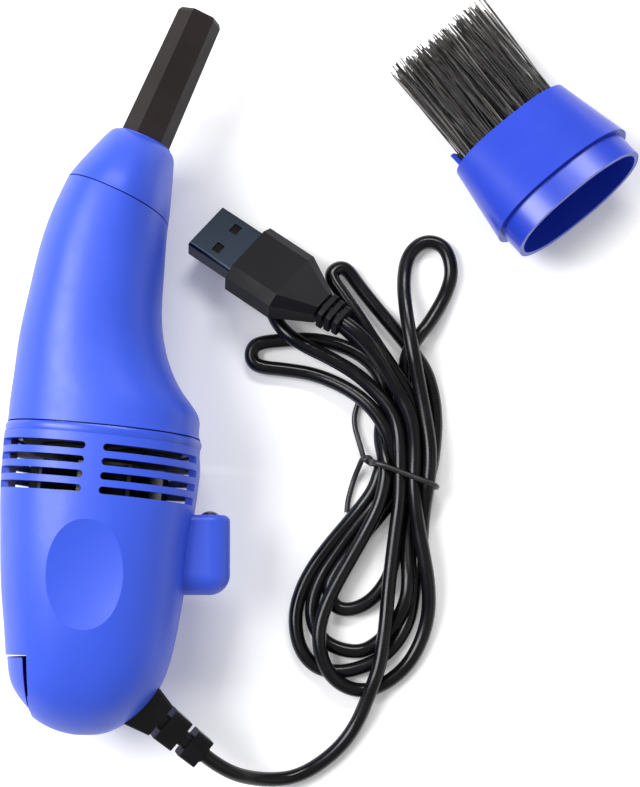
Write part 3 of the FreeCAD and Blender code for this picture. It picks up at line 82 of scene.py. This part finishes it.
def new_material(name):
    material = bpy.data.materials.new(name)
    material.use_nodes = True
    tree = material.node_tree
    shader = tree.nodes["Principled BSDF"]
    return material, tree, shader


def noise(tree, scale, detail=3.0, rough=0.5, stretch=None):
    place = tree.nodes.new("ShaderNodeTexCoord")
    out = place.outputs["Object"]
    if stretch:
        mapping = tree.nodes.new("ShaderNodeMapping")
        mapping.inputs["Scale"].default_value = stretch
        tree.links.new(out, mapping.inputs["Vector"])
        out = mapping.outputs["Vector"]
    texture = tree.nodes.new("ShaderNodeTexNoise")
    texture.inputs["Scale"].default_value = scale
    texture.inputs["Detail"].default_value = detail
    texture.inputs["Roughness"].default_value = rough
    tree.links.new(out, texture.inputs["Vector"])
    return texture.outputs["Fac"]


def ramp(tree, fac, low, high, low_at=0.35, high_at=0.65):
    node = tree.nodes.new("ShaderNodeValToRGB")
    node.color_ramp.elements[0].position = low_at
    node.color_ramp.elements[1].position = high_at
    node.color_ramp.elements[0].color = low
    node.color_ramp.elements[1].color = high
    tree.links.new(fac, node.inputs["Fac"])
    return node.outputs["Color"]


def grey(value):
    return (value, value, value, 1.0)


def shade(colour, factor):
    return (colour[0] * factor, colour[1] * factor, colour[2] * factor, 1.0)


def bumped(tree, shader, height, strength, distance):
    bump = tree.nodes.new("ShaderNodeBump")
    bump.inputs["Strength"].default_value = strength
    bump.inputs["Distance"].default_value = distance
    tree.links.new(height, bump.inputs["Height"])
    tree.links.new(bump.outputs["Normal"], shader.inputs["Normal"])


def plastic(name, colour, rough=0.4, grain=2500.0, depth=0.3, vary=0.06, spread=0.08, coat=0.0,
            specular=0.5):
    """Moulded plastic: soft colour drift, a fine spark-eroded grain and uneven gloss."""
    material, tree, shader = new_material(name)
    drift = noise(tree, drift_scale, detail=3.0, rough=0.55)
    tree.links.new(ramp(tree, drift, shade(colour, 1.0 - vary), shade(colour, 1.0 + vary)),
                   shader.inputs["Base Color"])
    gloss = noise(tree, gloss_scale, detail=4.0, rough=0.6)
    tree.links.new(ramp(tree, gloss, grey(rough - spread), grey(rough + spread), low_at=0.3, high_at=0.7),
                   shader.inputs["Roughness"])
    shader.inputs["Coat Weight"].default_value = coat
    shader.inputs["Coat Roughness"].default_value = coat_rough
    shader.inputs["Specular IOR Level"].default_value = specular
    bumped(tree, shader, noise(tree, grain, detail=2.0, rough=0.6), depth, grain_height)
    return material


def metal(name, colour, rough=0.25, brush=(1.0, 1.0, 1.0), scale=900.0, depth=0.12, spread=0.085):
    """Metal with fine drawn lines and a slightly uneven polish."""
    material, tree, shader = new_material(name)
    shader.inputs["Metallic"].default_value = 1.0
    lines = noise(tree, scale, detail=4.0, rough=0.65, stretch=brush)
    tree.links.new(ramp(tree, lines, shade(colour, 0.9), shade(colour, 1.08)), shader.inputs["Base Color"])
    tree.links.new(ramp(tree, lines, grey(max(rough - spread, polish_least)), grey(rough + spread)),
                   shader.inputs["Roughness"])
    bumped(tree, shader, lines, depth, drawn_height)
    return material


def rubber(name, colour, rough=0.3, depth=0.25, scale=1400.0, vary=0.25, specular=0.5):
    """Cord insulation: nearly smooth, with faint drawn streaks and dull patches."""
    material, tree, shader = new_material(name)
    patches = noise(tree, patch_scale, detail=3.0, rough=0.6)
    tree.links.new(ramp(tree, patches, shade(colour, 1.0 - vary), shade(colour, 1.0 + vary)),
                   shader.inputs["Base Color"])
    tree.links.new(ramp(tree, patches, grey(rough - 0.06), grey(rough + 0.08)), shader.inputs["Roughness"])
    shader.inputs["Specular IOR Level"].default_value = specular
    bumped(tree, shader, noise(tree, scale, detail=3.0, rough=0.6), depth, jacket_height)
    return material


def woven(name, colour, pitch, rough=0.8):
    """Plain-woven filter cloth: two crossed sets of threads."""
    material, tree, shader = new_material(name)
    place = tree.nodes.new("ShaderNodeTexCoord")
    heights = []
    for direction in ("X", "Z"):
        wave = tree.nodes.new("ShaderNodeTexWave")
        wave.wave_type = "BANDS"
        wave.bands_direction = direction
        wave.inputs["Scale"].default_value = weave_bands / pitch
        wave.inputs["Distortion"].default_value = weave_wander
        tree.links.new(place.outputs["Object"], wave.inputs["Vector"])
        heights.append(wave.outputs["Fac"])
    both = tree.nodes.new("ShaderNodeMath")
    both.operation = "MAXIMUM"
    tree.links.new(heights[0], both.inputs[0])
    tree.links.new(heights[1], both.inputs[1])
    threads = ramp(tree, both.outputs[0], shade(colour, 0.55), shade(colour, 1.0), low_at=0.2, high_at=0.8)
    tree.links.new(threads, shader.inputs["Base Color"])
    shader.inputs["Roughness"].default_value = rough
    bumped(tree, shader, both.outputs[0], weave_relief, weave_height)
    return material


looks = {
    "body_blue": plastic("body_blue_shell", (0.033, 0.090, 0.68), rough=0.42, grain=3200.0, depth=0.45,
                         vary=0.03, spread=0.03),
    "ring_blue": plastic("ring_blue_bead", (0.029, 0.080, 0.62), rough=0.34, grain=3200.0, depth=0.25,
                         vary=0.03, spread=0.03),
    "collar_blue": plastic("collar_blue_gloss", (0.017, 0.052, 0.53), rough=0.3, grain=1800.0, depth=0.03,
                           vary=0.03, spread=0.02, coat=0.08),
    "nozzle_black": plastic("nozzle_black_satin", (0.020, 0.015, 0.015), rough=0.48, grain=2600.0,
                            depth=0.3, vary=0.15, spread=0.04, specular=0.12),
    "dark_plastic": plastic("dark_plastic_inner", (0.014, 0.014, 0.017), rough=0.55, grain=1500.0,
                            depth=0.4, vary=0.2),
    "fan_black": plastic("fan_black_blades", (0.008, 0.009, 0.014), rough=0.3, grain=900.0, depth=0.1,
                         vary=0.2, spread=0.05),
    "filter_cloth": woven("filter_cloth_weave", (0.80, 0.80, 0.77), pitch=0.45 * MM),
    "steel": metal("steel_drawn", (0.56, 0.57, 0.59), rough=0.24, brush=(1.0, 6.0, 1.0)),
    "rotor_steel": metal("rotor_steel_laminated", (0.34, 0.34, 0.35), rough=0.38, brush=(0.2, 14.0, 0.2),
                         scale=400.0, depth=0.5),
    "magnet": plastic("magnet_ferrite", (0.055, 0.053, 0.052), rough=0.7, grain=900.0, depth=0.6, vary=0.2,
                      spread=0.1),
    "brass": metal("brass_bright", (0.78, 0.58, 0.27), rough=0.22, brush=(3.0, 1.0, 1.0)),
    "pad_rubber": rubber("pad_rubber_soft", (0.035, 0.035, 0.035), rough=0.75, depth=0.6, scale=700.0),
    "switch_red": plastic("switch_red_plunger", (0.52, 0.035, 0.03), rough=0.45),
    "board_green": plastic("board_green_lacquer", (0.03, 0.20, 0.07), rough=0.3, grain=600.0, depth=0.4,
                           vary=0.2, coat=0.4),
    "resistor_tan": plastic("resistor_tan_lacquer", (0.55, 0.42, 0.27), grain=900.0, vary=0.15),
    # Painted shade: the clear lamp lens is coloured near black for the dark inside seen through it.
    "lamp_dark": plastic("lamp_lens_painted_shade", (0.015, 0.015, 0.03), rough=0.12, grain=500.0, depth=0.05,
                         vary=0.2, spread=0.04, coat=0.6),
    "wire_red": rubber("wire_red_insulation", (0.42, 0.02, 0.02), rough=0.4),
    "cord_black": rubber("cord_black_jacket", (0.004, 0.004, 0.005), rough=0.22, depth=0.06, scale=1500.0,
                         specular=0.3),
    "tie_black": rubber("tie_black_wire", (0.018, 0.017, 0.018), rough=0.38, depth=0.5, scale=1200.0),
    # Painted reflection: the plated shell is coloured dark blue-grey for the dark surroundings that it
    # mirrors.
    "plug_metal": metal("plug_metal_painted_reflection", (0.028, 0.037, 0.052), rough=0.3, brush=(1.0, 1.0, 2.0),
                        scale=3000.0, depth=0.02, spread=0.01),
    "tongue_dark": plastic("tongue_dark_insulator", (0.010, 0.006, 0.005), rough=0.6, specular=0.1),
    "plug_black": plastic("plug_black_overmold", (0.006, 0.006, 0.008), rough=0.42, grain=2400.0,
                          depth=0.12, vary=0.2, spread=0.03, specular=0.12),
    "bristle_black": rubber("bristle_black_nylon", (0.020, 0.018, 0.019), rough=0.33, depth=0.2,
                            scale=2500.0, vary=0.5),
}
for entry in frame["record"]["subparts"]:
    mesh = nodes[entry["node"]].data
    mesh.materials.clear()
    mesh.materials.append(looks[entry["material_slot"]])


def finished(obj, slot, body, *replaced):
    """Gives a piece the material of its slot and the body that it rides on."""
    if not obj.data.materials:
        obj.data.materials.append(looks[slot])
    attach(obj, body)
    if replaced:
        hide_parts(*replaced)
    return obj


def mesh_piece(name, bm, smooth=True):
    mesh = bpy.data.meshes.new(name)
    bm.normal_update()
    bm.to_mesh(mesh)
    bm.free()
    for face in mesh.polygons:
        face.use_smooth = smooth
    obj = bpy.data.objects.new(name, mesh)
    bpy.context.scene.collection.objects.link(obj)
    return obj


def wire_curve(name, runs, radius, resolution=8, sides=6):
    """Smooth open splines with a round section, one for each run of points in mm."""
    data = bpy.data.curves.new(name, "CURVE")
    data.dimensions = "3D"
    data.bevel_depth = radius * MM
    data.bevel_resolution = sides
    data.use_fill_caps = True
    for points in runs:
        line = data.splines.new("NURBS")
        line.points.add(len(points) - 1)
        for point, place in zip(line.points, points):
            point.co = (place[0] * MM, place[1] * MM, place[2] * MM, 1.0)
        line.order_u = 3
        line.use_endpoint_u = True
        line.resolution_u = resolution
    obj = bpy.data.objects.new(name, data)
    bpy.context.scene.collection.objects.link(obj)
    return obj


# ------------------------------------------------------------------ cord
def along(start, heading, pitch, distance):
    """The place in mm at a distance from start, along a direction given by two angles."""
    h, p = math.radians(heading), math.radians(pitch)
    return (start[0] + distance * math.cos(p) * math.cos(h),
            start[1] + distance * math.cos(p) * math.sin(h),
            start[2] + distance * math.sin(p))


relief_end = (-24.9, -82.2, 13.8)
relief_heading, relief_dip = -40.2, -20.0
relief_straight = 6.0       # the cord leaves the strain relief straight
plug_tip = (-25.6, 27.4, 4.2)
plug_heading, plug_pitch = -35.2, 11.0
plug_length = 36.4
plug_straight = 5.5         # and enters the plug straight
cord_radius = 1.5
# Control points in mm, from the strain relief through the hank's turns to the plug.
cord_points = [
    relief_end, along(relief_end, relief_heading, relief_dip, relief_straight),
    (-13.2, -88.1, 4.4), (-5.6, -87.6, 1.75), (1.9, -82.6, 1.7), (6.4, -76.8, 2.1), (9.5, -69.0, 4.2),
    # strand_up
    (11.0, -64.9, 4.6), (11.8, -60.2, 4.6), (12.5, -55.0, 4.6), (13.0, -48.8, 4.6), (13.8, -42.1, 4.8),
    (14.6, -35.8, 5.0), (15.3, -31.0, 5.2), (15.5, -27.3, 5.3), (15.5, -23.7, 5.4), (15.5, -19.9, 5.4),
    # loop_4
    (15.3, -15.2, 5.0), (13.9, -11.0, 4.9), (10.7, -7.2, 4.6), (6.5, -3.3, 4.4), (0.8, 0.1, 4.4),
    (-4.9, 2.8, 4.4), (-8.3, 5.2, 4.2), (-10.7, 8.2, 3.0), (-11.8, 11.6, 1.8), (-10.5, 14.6, 1.5),
    (-7.1, 15.7, 1.5), (-3.6, 13.3, 1.5), (-0.2, 10.3, 1.5), (3.4, 7.3, 1.5), (7.0, 4.1, 1.5),
    (10.2, 0.9, 1.5), (13.0, -2.8, 1.5), (14.6, -7.0, 1.5), (14.8, -11.7, 1.5), (14.2, -16.2, 1.5),
    (12.9, -20.1, 1.9), (11.4, -23.5, 2.8), (10.3, -27.3, 2.6),
    # loop_a
    (7.8, -30.9, 1.7), (4.4, -34.9, 1.5), (1.0, -38.9, 1.5), (-2.8, -43.9, 1.5), (-5.5, -49.2, 1.5),
    (-6.6, -54.2, 1.5), (-6.1, -59.2, 1.5), (-4.4, -62.9, 1.5), (-1.3, -65.4, 1.5), (3.1, -65.9, 1.5),
    (7.3, -65.0, 1.5), (11.3, -63.2, 1.5), (14.9, -59.8, 1.5), (17.4, -55.2, 1.5), (18.3, -50.4, 1.5),
    (19.1, -45.2, 1.5), (20.0, -39.3, 1.6), (20.4, -33.2, 2.6), (21.2, -27.9, 5.0), (21.8, -23.3, 5.3),
    (21.8, -18.4, 5.4),
    # loop_r
    (20.8, -12.1, 5.4), (19.6, -5.8, 5.7), (18.1, 2.2, 6.6), (16.9, 9.8, 5.0), (16.4, 16.9, 2.4),
    (17.5, 22.9, 1.5), (21.2, 25.9, 1.5), (25.5, 24.6, 1.5), (27.1, 19.2, 1.5), (25.6, 14.0, 1.6),
    (22.3, 8.2, 3.0), (19.5, 4.6, 4.3), (17.1, 1.3, 3.4), (16.6, -3.4, 1.5), (17.2, -9.0, 1.5),
    (17.6, -14.9, 1.5), (17.3, -19.7, 2.2), (16.9, -23.5, 2.8), (16.0, -27.3, 2.5),
    # loop_d
    (13.1, -30.9, 1.6), (9.7, -35.1, 1.5), (6.1, -39.3, 1.5), (2.7, -43.7, 1.5), (0.2, -48.3, 1.5),
    (1.6, -52.3, 1.5), (5.0, -53.1, 1.5), (9.2, -51.3, 1.5), (12.6, -47.3, 1.5), (14.3, -42.9, 1.5),
    (14.9, -37.8, 1.5), (15.8, -32.3, 1.6), (18.3, -27.3, 2.4), (19.6, -23.5, 2.8), (20.0, -19.7, 2.6),
    # loop_2
    (20.1, -15.3, 2.8), (18.8, -10.7, 3.9), (16.7, -6.3, 4.4), (13.7, -1.6, 4.4), (10.1, 3.7, 4.4),
    (6.8, 8.9, 4.2), (3.6, 13.6, 3.8), (1.1, 17.2, 3.2), (1.4, 18.8, 2.8), (2.8, 19.8, 2.3), (4.5, 19.5, 1.9),
    (6.8, 16.2, 1.5), (10.4, 11.6, 1.5), (14.9, 6.2, 1.5), (18.5, 1.7, 1.5), (21.3, -2.3, 1.5),
    (22.9, -7.9, 1.5), (23.3, -13.9, 1.5), (22.8, -19.2, 2.2), (22.1, -23.5, 2.8), (20.6, -27.5, 2.5),
    # loop_c
    (18.1, -31.5, 1.6), (17.1, -36.6, 1.6), (17.0, -41.6, 2.8), (17.3, -46.7, 4.1), (16.7, -51.5, 3.8),
    (14.2, -56.1, 2.2), (11.1, -59.6, 1.5), (7.5, -61.7, 1.5), (3.1, -61.3, 1.5), (-0.7, -59.4, 1.5),
    (-3.0, -55.6, 1.5), (-3.0, -50.8, 1.5), (-1.1, -45.8, 1.5), (2.1, -41.0, 1.5), (5.7, -36.1, 1.5),
    (9.5, -31.5, 1.6), (12.6, -27.5, 2.3), (14.1, -24.0, 2.8), (14.1, -20.4, 3.4),
    # loop_3
    (13.2, -16.5, 4.6), (11.3, -12.7, 4.5), (8.2, -9.0, 4.2), (3.6, -5.7, 3.0), (-2.4, -3.1, 1.8),
    (-8.1, -2.1, 1.5), (-14.4, -1.5, 1.5), (-15.9, 0.0, 1.5), (-15.9, 2.2, 1.5), (-14.4, 3.7, 1.5),
    (-8.8, 4.3, 1.5), (-2.8, 4.5, 1.5), (2.5, 3.4, 1.5), (6.8, 1.5, 1.5), (10.2, -1.3, 1.5),
    (12.1, -4.7, 1.5), (12.5, -8.5, 1.5), (11.9, -12.4, 1.5), (11.4, -16.7, 2.2), (12.0, -20.2, 4.0),
    (12.6, -23.7, 5.2), (12.1, -27.5, 5.3),
    # loop_b
    (10.9, -31.7, 5.0), (8.3, -36.7, 4.6), (5.0, -42.5, 4.5), (1.4, -48.8, 4.5), (-1.1, -54.6, 4.5),
    (-1.7, -59.6, 4.5), (-0.3, -65.0, 4.4), (3.1, -68.7, 3.0), (7.9, -70.0, 1.8), (12.9, -68.1, 1.5),
    (17.2, -64.4, 1.5), (20.1, -59.2, 1.7), (21.6, -53.3, 2.6), (21.4, -47.1, 4.0), (20.3, -40.9, 4.6),
    (19.2, -35.2, 4.8), (18.6, -30.0, 5.2), (18.4, -25.8, 5.3), (18.6, -22.0, 5.4),
    # plug_lead
    (18.6, -17.4, 5.8), (17.8, -12.2, 6.4), (14.2, -5.4, 6.3),
    along(plug_tip, plug_heading, plug_pitch, plug_length + plug_straight),
    along(plug_tip, plug_heading, plug_pitch, plug_length),
]
cord = wire_curve("cord", [cord_points], cord_radius, resolution=10, sides=7)
finished(cord, "cord_black", "housing", "cord_lead", "cord_hank", "plug_lead")

# ------------------------------------------------------------------ cord tie
# The tie sits at the hank's waist.
tie_centre = mm(16.4, -24.6, 4.05)
tie_heading = math.radians(-21.0)
tie_across = Vector((math.cos(tie_heading), math.sin(tie_heading), 0.0))
tie_radius = 0.58


def tie_point(across, up):
    place = tie_centre + tie_across * across * MM + Vector((0, 0, up * MM))
    return (place.x / MM, place.y / MM, place.z / MM)


# The band round the hank, then its two twisted ends, which run down to the table.
band = [(-7.4, 0.6), (-7.1, 2.5), (-5.2, 3.55), (-2.0, 3.5), (1.5, 3.45), (5.2, 3.5), (7.1, 2.5), (7.4, 0.0),
        (7.1, -2.5), (5.2, -3.4), (0.0, -3.4), (-5.2, -3.4), (-7.1, -2.5), (-7.4, -0.8)]
tie_runs = [
    [tie_point(*place) for place in band] + [tie_point(*band[0])],
    [(10.0, -22.4, 5.6), (9.3, -21.2, 4.6), (8.6, -20.9, 3.6), (8.0, -21.4, 2.9), (7.6, -19.7, 2.0),
     (6.9, -17.2, 1.2), (6.0, -14.0, 0.8), (6.0, -11.2, 0.8), (6.9, -9.0, 0.8)],
    [(9.6, -22.2, 2.2), (9.0, -22.0, 3.3), (8.4, -21.6, 4.2), (7.8, -20.9, 3.4), (7.0, -22.6, 2.2),
     (6.0, -25.0, 1.1), (5.1, -28.0, 0.8), (4.5, -30.4, 0.8), (4.4, -32.4, 0.8)],
]
tie = wire_curve("tie_wire", tie_runs, tie_radius, resolution=10, sides=5)
finished(tie, "tie_black", "housing", "cord_tie")

# ------------------------------------------------------------------ brush bristles
brush_heading, brush_dip = -50.9, -13.8
brush_place = (Matrix.Translation(mm(39.1, 48.6, 6.85))
               @ Matrix.Rotation(math.radians(brush_heading), 4, "Z")
               @ Matrix.Rotation(math.radians(brush_dip), 4, "Y"))
tuft_rows = 3
tuft_counts = (8, 7)        # in the outer rows and in the middle row
tuft_setback, tuft_length, tuft_swing = 3.2, 29.4, 2.5
tuft_pitch, tuft_row_pitch = 3.1, 2.7
tuft_tip_height, tuft_tip_share = 1.7, 0.55     # tip height of the lowest row, and its rise with the row
tuft_lean = 0.25
strands_per_tuft = 19
strand_sink = 0.5           # the root lies this far inside the holder
strand_root_reach, strand_tip_reach = 0.9, 1.1
strand_spread_side, strand_spread_up = 0.95, 0.35
strand_short, strand_short_power, strand_extra = 3.2, 1.6, 0.4
strand_floor = 0.35         # no tip goes lower than this above the table
strand_bow_side, strand_bow_down, strand_bow_up = 0.35, 0.1, 0.35
strand_radius = (0.12, 0.165)
strand_taper = 0.15
# Painted highlight: a share of the strands, and every strand towards its tip, are coloured paler.
highlit_share, dark_tone = 0.14, 0.2
root_tone, tip_highlight_tone, tone_power = 0.55, 0.45, 3


def tuft_line(y, z):
    """Where a tuft starts in the holder, and the direction in which it runs down to the table."""
    root = brush_place @ mm(tuft_setback, y, z)
    wanted = (tuft_tip_height + tuft_tip_share * (z + tuft_row_pitch)) * MM
    drop = root.z - wanted
    length = tuft_length * MM
    flat = math.sqrt(length ** 2 - drop ** 2)
    heading = brush_place.to_3x3() @ Vector((-1, 0, 0))
    heading = Matrix.Rotation(math.radians(-tuft_swing), 3, "Z") @ heading
    level = Vector((heading.x, heading.y, 0)).normalized()
    return root, Vector((level.x * flat, level.y * flat, -drop)).normalized()


def hair(bm, tone_layer, tone, base, tip, bow, radius, steps=5, sides=4):
    """One bristle: a thin tapering rod along a slightly bowed line."""
    axis = (tip - base).normalized()
    side = axis.cross(Vector((0, 0, 1))).normalized()
    up = side.cross(axis)
    rings = []
    for step in range(steps + 1):
        t = step / steps
        centre = base.lerp(tip, t) + bow * (4 * t * (1 - t))
        size = radius * (1.0 - strand_taper * t)
        rings.append([bm.verts.new(centre + (side * math.cos(a) + up * math.sin(a)) * size)
                      for a in (math.tau * k / sides for k in range(sides))])
    for low, high in zip(rings, rings[1:]):
        for k in range(sides):
            bm.faces.new((low[k], low[(k + 1) % sides], high[(k + 1) % sides], high[k]))
    bm.faces.new(rings[-1])
    for step, ring in enumerate(rings):
        for corner in ring:
            # Painted highlight: the tone rises from the root to the tip.
            corner[tone_layer] = tone * (root_tone + tip_highlight_tone * (step / steps) ** tone_power)


chance = random.Random(7)
hairs = bmesh.new()
tone_layer = hairs.verts.layers.float.new("tone")
for row in range(tuft_rows):
    count = tuft_counts[row % 2]
    for column in range(count):
        y = (column - (count - 1) / 2) * tuft_pitch
        z = (row - 1) * tuft_row_pitch
        root, direction = tuft_line(y, z)
        side = direction.cross(Vector((0, 0, 1))).normalized()
        up = side.cross(direction)
        lean = side * chance.uniform(-tuft_lean, tuft_lean) * MM
        for strand in range(strands_per_tuft):
            angle = chance.uniform(0, math.tau)
            reach = math.sqrt(chance.random())
            ring = side * math.cos(angle) + up * math.sin(angle)
            base = root - direction * strand_sink * MM + ring * reach * strand_root_reach * MM
            spread = side * chance.gauss(0, strand_spread_side) + up * chance.gauss(0, strand_spread_up)
            shorter = strand_short * chance.random() ** strand_short_power
            length = (tuft_length - shorter + strand_extra) * MM
            tip = root + direction * length + (ring * reach * strand_tip_reach + spread) * MM + lean
            tip.z = max(tip.z, strand_floor * MM)
            bow = (side * chance.uniform(-strand_bow_side, strand_bow_side)
                   + up * chance.uniform(-strand_bow_down, strand_bow_up)) * MM
            # Painted highlight: this share of strands takes the full pale tone.
            tone = 1.0 if chance.random() < highlit_share else dark_tone * chance.random()
            hair(hairs, tone_layer, tone, base, tip, bow, chance.uniform(*strand_radius) * MM)
bristles = mesh_piece("bristles", hairs)


strand_streak_scale, strand_streak = 900.0, 0.25
# The pale colour is the painted highlight of the pale strands and the tips.
strand_dark, strand_highlight = (0.006, 0.005, 0.006, 1.0), (0.30, 0.27, 0.25, 1.0)
strand_rough, strand_gloss = 0.36, 0.35


def nylon():
    """Black nylon bristles with a painted highlight: a few strands are paler, and every strand pales towards
    its tip.
    """
    material, tree, shader = new_material("bristle_strands")
    tone = tree.nodes.new("ShaderNodeAttribute")
    tone.attribute_name = "tone"
    streak = tree.nodes.new("ShaderNodeMath")
    streak.operation = "MULTIPLY_ADD"
    tree.links.new(noise(tree, strand_streak_scale, detail=2.0), streak.inputs[0])
    streak.inputs[1].default_value = strand_streak
    tree.links.new(tone.outputs["Fac"], streak.inputs[2])
    colour = ramp(tree, streak.outputs[0], strand_dark, strand_highlight, low_at=0.15, high_at=1.0)
    tree.links.new(colour, shader.inputs["Base Color"])
    shader.inputs["Roughness"].default_value = strand_rough
    shader.inputs["Specular IOR Level"].default_value = strand_gloss
    return material


bristles.data.materials.append(nylon())
finished(bristles, "bristle_black", "brush", "bristle_tufts")

# ------------------------------------------------------------------ filter cloth
fan_axis = Vector((0.0941, 0.9956, 0.0)).normalized()
fan_side = Vector((0.9956, -0.0941, 0.0)).normalized()
fan_centre = mm(-45.1, -16.8, 19.5)
cloth_rim, cloth_rise, cloth_start = 14.0, 4.6, -2.0
cloth_rings, cloth_sides = 14, 72
ripple_height, ripple_waves = 0.10, 6
hem_reach, hem_lift, hem_radius, hem_runs = 13.8, 0.2, 0.4, 24


def cloth_point(radius, angle, height):
    """A point of the cloth: height along the fan's axis, radius and angle round it, in mm."""
    return (fan_centre + fan_axis * height * MM + fan_side * radius * math.cos(angle) * MM
            + Vector((0, 0, radius * math.sin(angle) * MM)))


dome = (cloth_rim ** 2 + cloth_rise ** 2) / (2 * cloth_rise)
cloth = bmesh.new()
rings = []
for ring in range(1, cloth_rings + 1):
    radius = cloth_rim * ring / cloth_rings
    row = []
    for k in range(cloth_sides):
        a = math.tau * k / cloth_sides
        ripple = ripple_height * math.sin(ripple_waves * a) * (ring / cloth_rings) ** 2
        height = cloth_start + math.sqrt(dome ** 2 - radius ** 2) - (dome - cloth_rise) + ripple
        row.append(cloth.verts.new(cloth_point(radius, a, height)))
    rings.append(row)
top = cloth.verts.new(fan_centre + fan_axis * (cloth_start + cloth_rise) * MM)
for k in range(cloth_sides):
    after = (k + 1) % cloth_sides
    cloth.faces.new((top, rings[0][k], rings[0][after]))
    for low, high in zip(rings, rings[1:]):
        cloth.faces.new((low[k], high[k], high[after], low[after]))
filter_piece = mesh_piece("filter_dome", cloth)
finished(filter_piece, "filter_cloth", "housing", "filter_cloth")
hem_points = []
for k in range(hem_runs + 1):
    place = cloth_point(hem_reach, math.tau * k / hem_runs, cloth_start + hem_lift)
    hem_points.append((place.x / MM, place.y / MM, place.z / MM))
hem = wire_curve("filter_hem", [hem_points], hem_radius, resolution=6, sides=3)
finished(hem, "filter_cloth", "housing")

# ------------------------------------------------------------------ floor and light
floor_half_size, floor_drop = 3.0, 0.0002
floor_tones = (0.93, 0.955)
floor_mottle = 6.0
floor_rough = 0.9
floor_glow = 0.16
world_strength = 0.33

floor_mesh = bmesh.new()
bmesh.ops.create_grid(floor_mesh, x_segments=1, y_segments=1, size=floor_half_size)
floor = mesh_piece("floor", floor_mesh, False)
floor.location = (0, 0, -floor_drop)
floor_look, floor_tree, floor_shader = new_material("floor_paper")
paper = ramp(floor_tree, noise(floor_tree, floor_mottle), grey(floor_tones[0]), grey(floor_tones[1]))
floor_tree.links.new(paper, floor_shader.inputs["Base Color"])
floor_shader.inputs["Roughness"].default_value = floor_rough
floor_shader.inputs["Emission Color"].default_value = grey(1.0)
floor_shader.inputs["Emission Strength"].default_value = floor_glow
floor.data.materials.append(floor_look)


def area_light(name, place, target, width, height, power):
    """A rectangular light that faces its target; sizes in metres, power in watts."""
    data = bpy.data.lights.new(name, "AREA")
    data.shape = "RECTANGLE"
    data.size = width
    data.size_y = height
    data.energy = power
    lamp = bpy.data.objects.new(name, data)
    bpy.context.scene.collection.objects.link(lamp)
    lamp.location = place
    lamp.rotation_mode = "QUATERNION"
    lamp.rotation_quaternion = (Vector(target) - Vector(place)).to_track_quat("-Z", "Y")


area_light("key_left", (-0.7, 0.15, 0.85), (-0.02, 0.0, 0.0), width=0.45, height=0.7, power=12.5)
area_light("fill_right", (0.8, -0.25, 0.6), (0.0, 0.0, 0.0), width=0.6, height=0.8, power=0.6)
area_light("top_back", (0.1, 0.75, 0.85), (0.0, 0.0, 0.0), width=0.6, height=0.2, power=6.0)
world = bpy.data.worlds.new("studio")
world.use_nodes = True
background = world.node_tree.nodes["Background"]
background.inputs["Color"].default_value = grey(1.0)
background.inputs["Strength"].default_value = world_strength
bpy.context.scene.world = world
bpy.context.scene.view_settings.view_transform = "Standard"
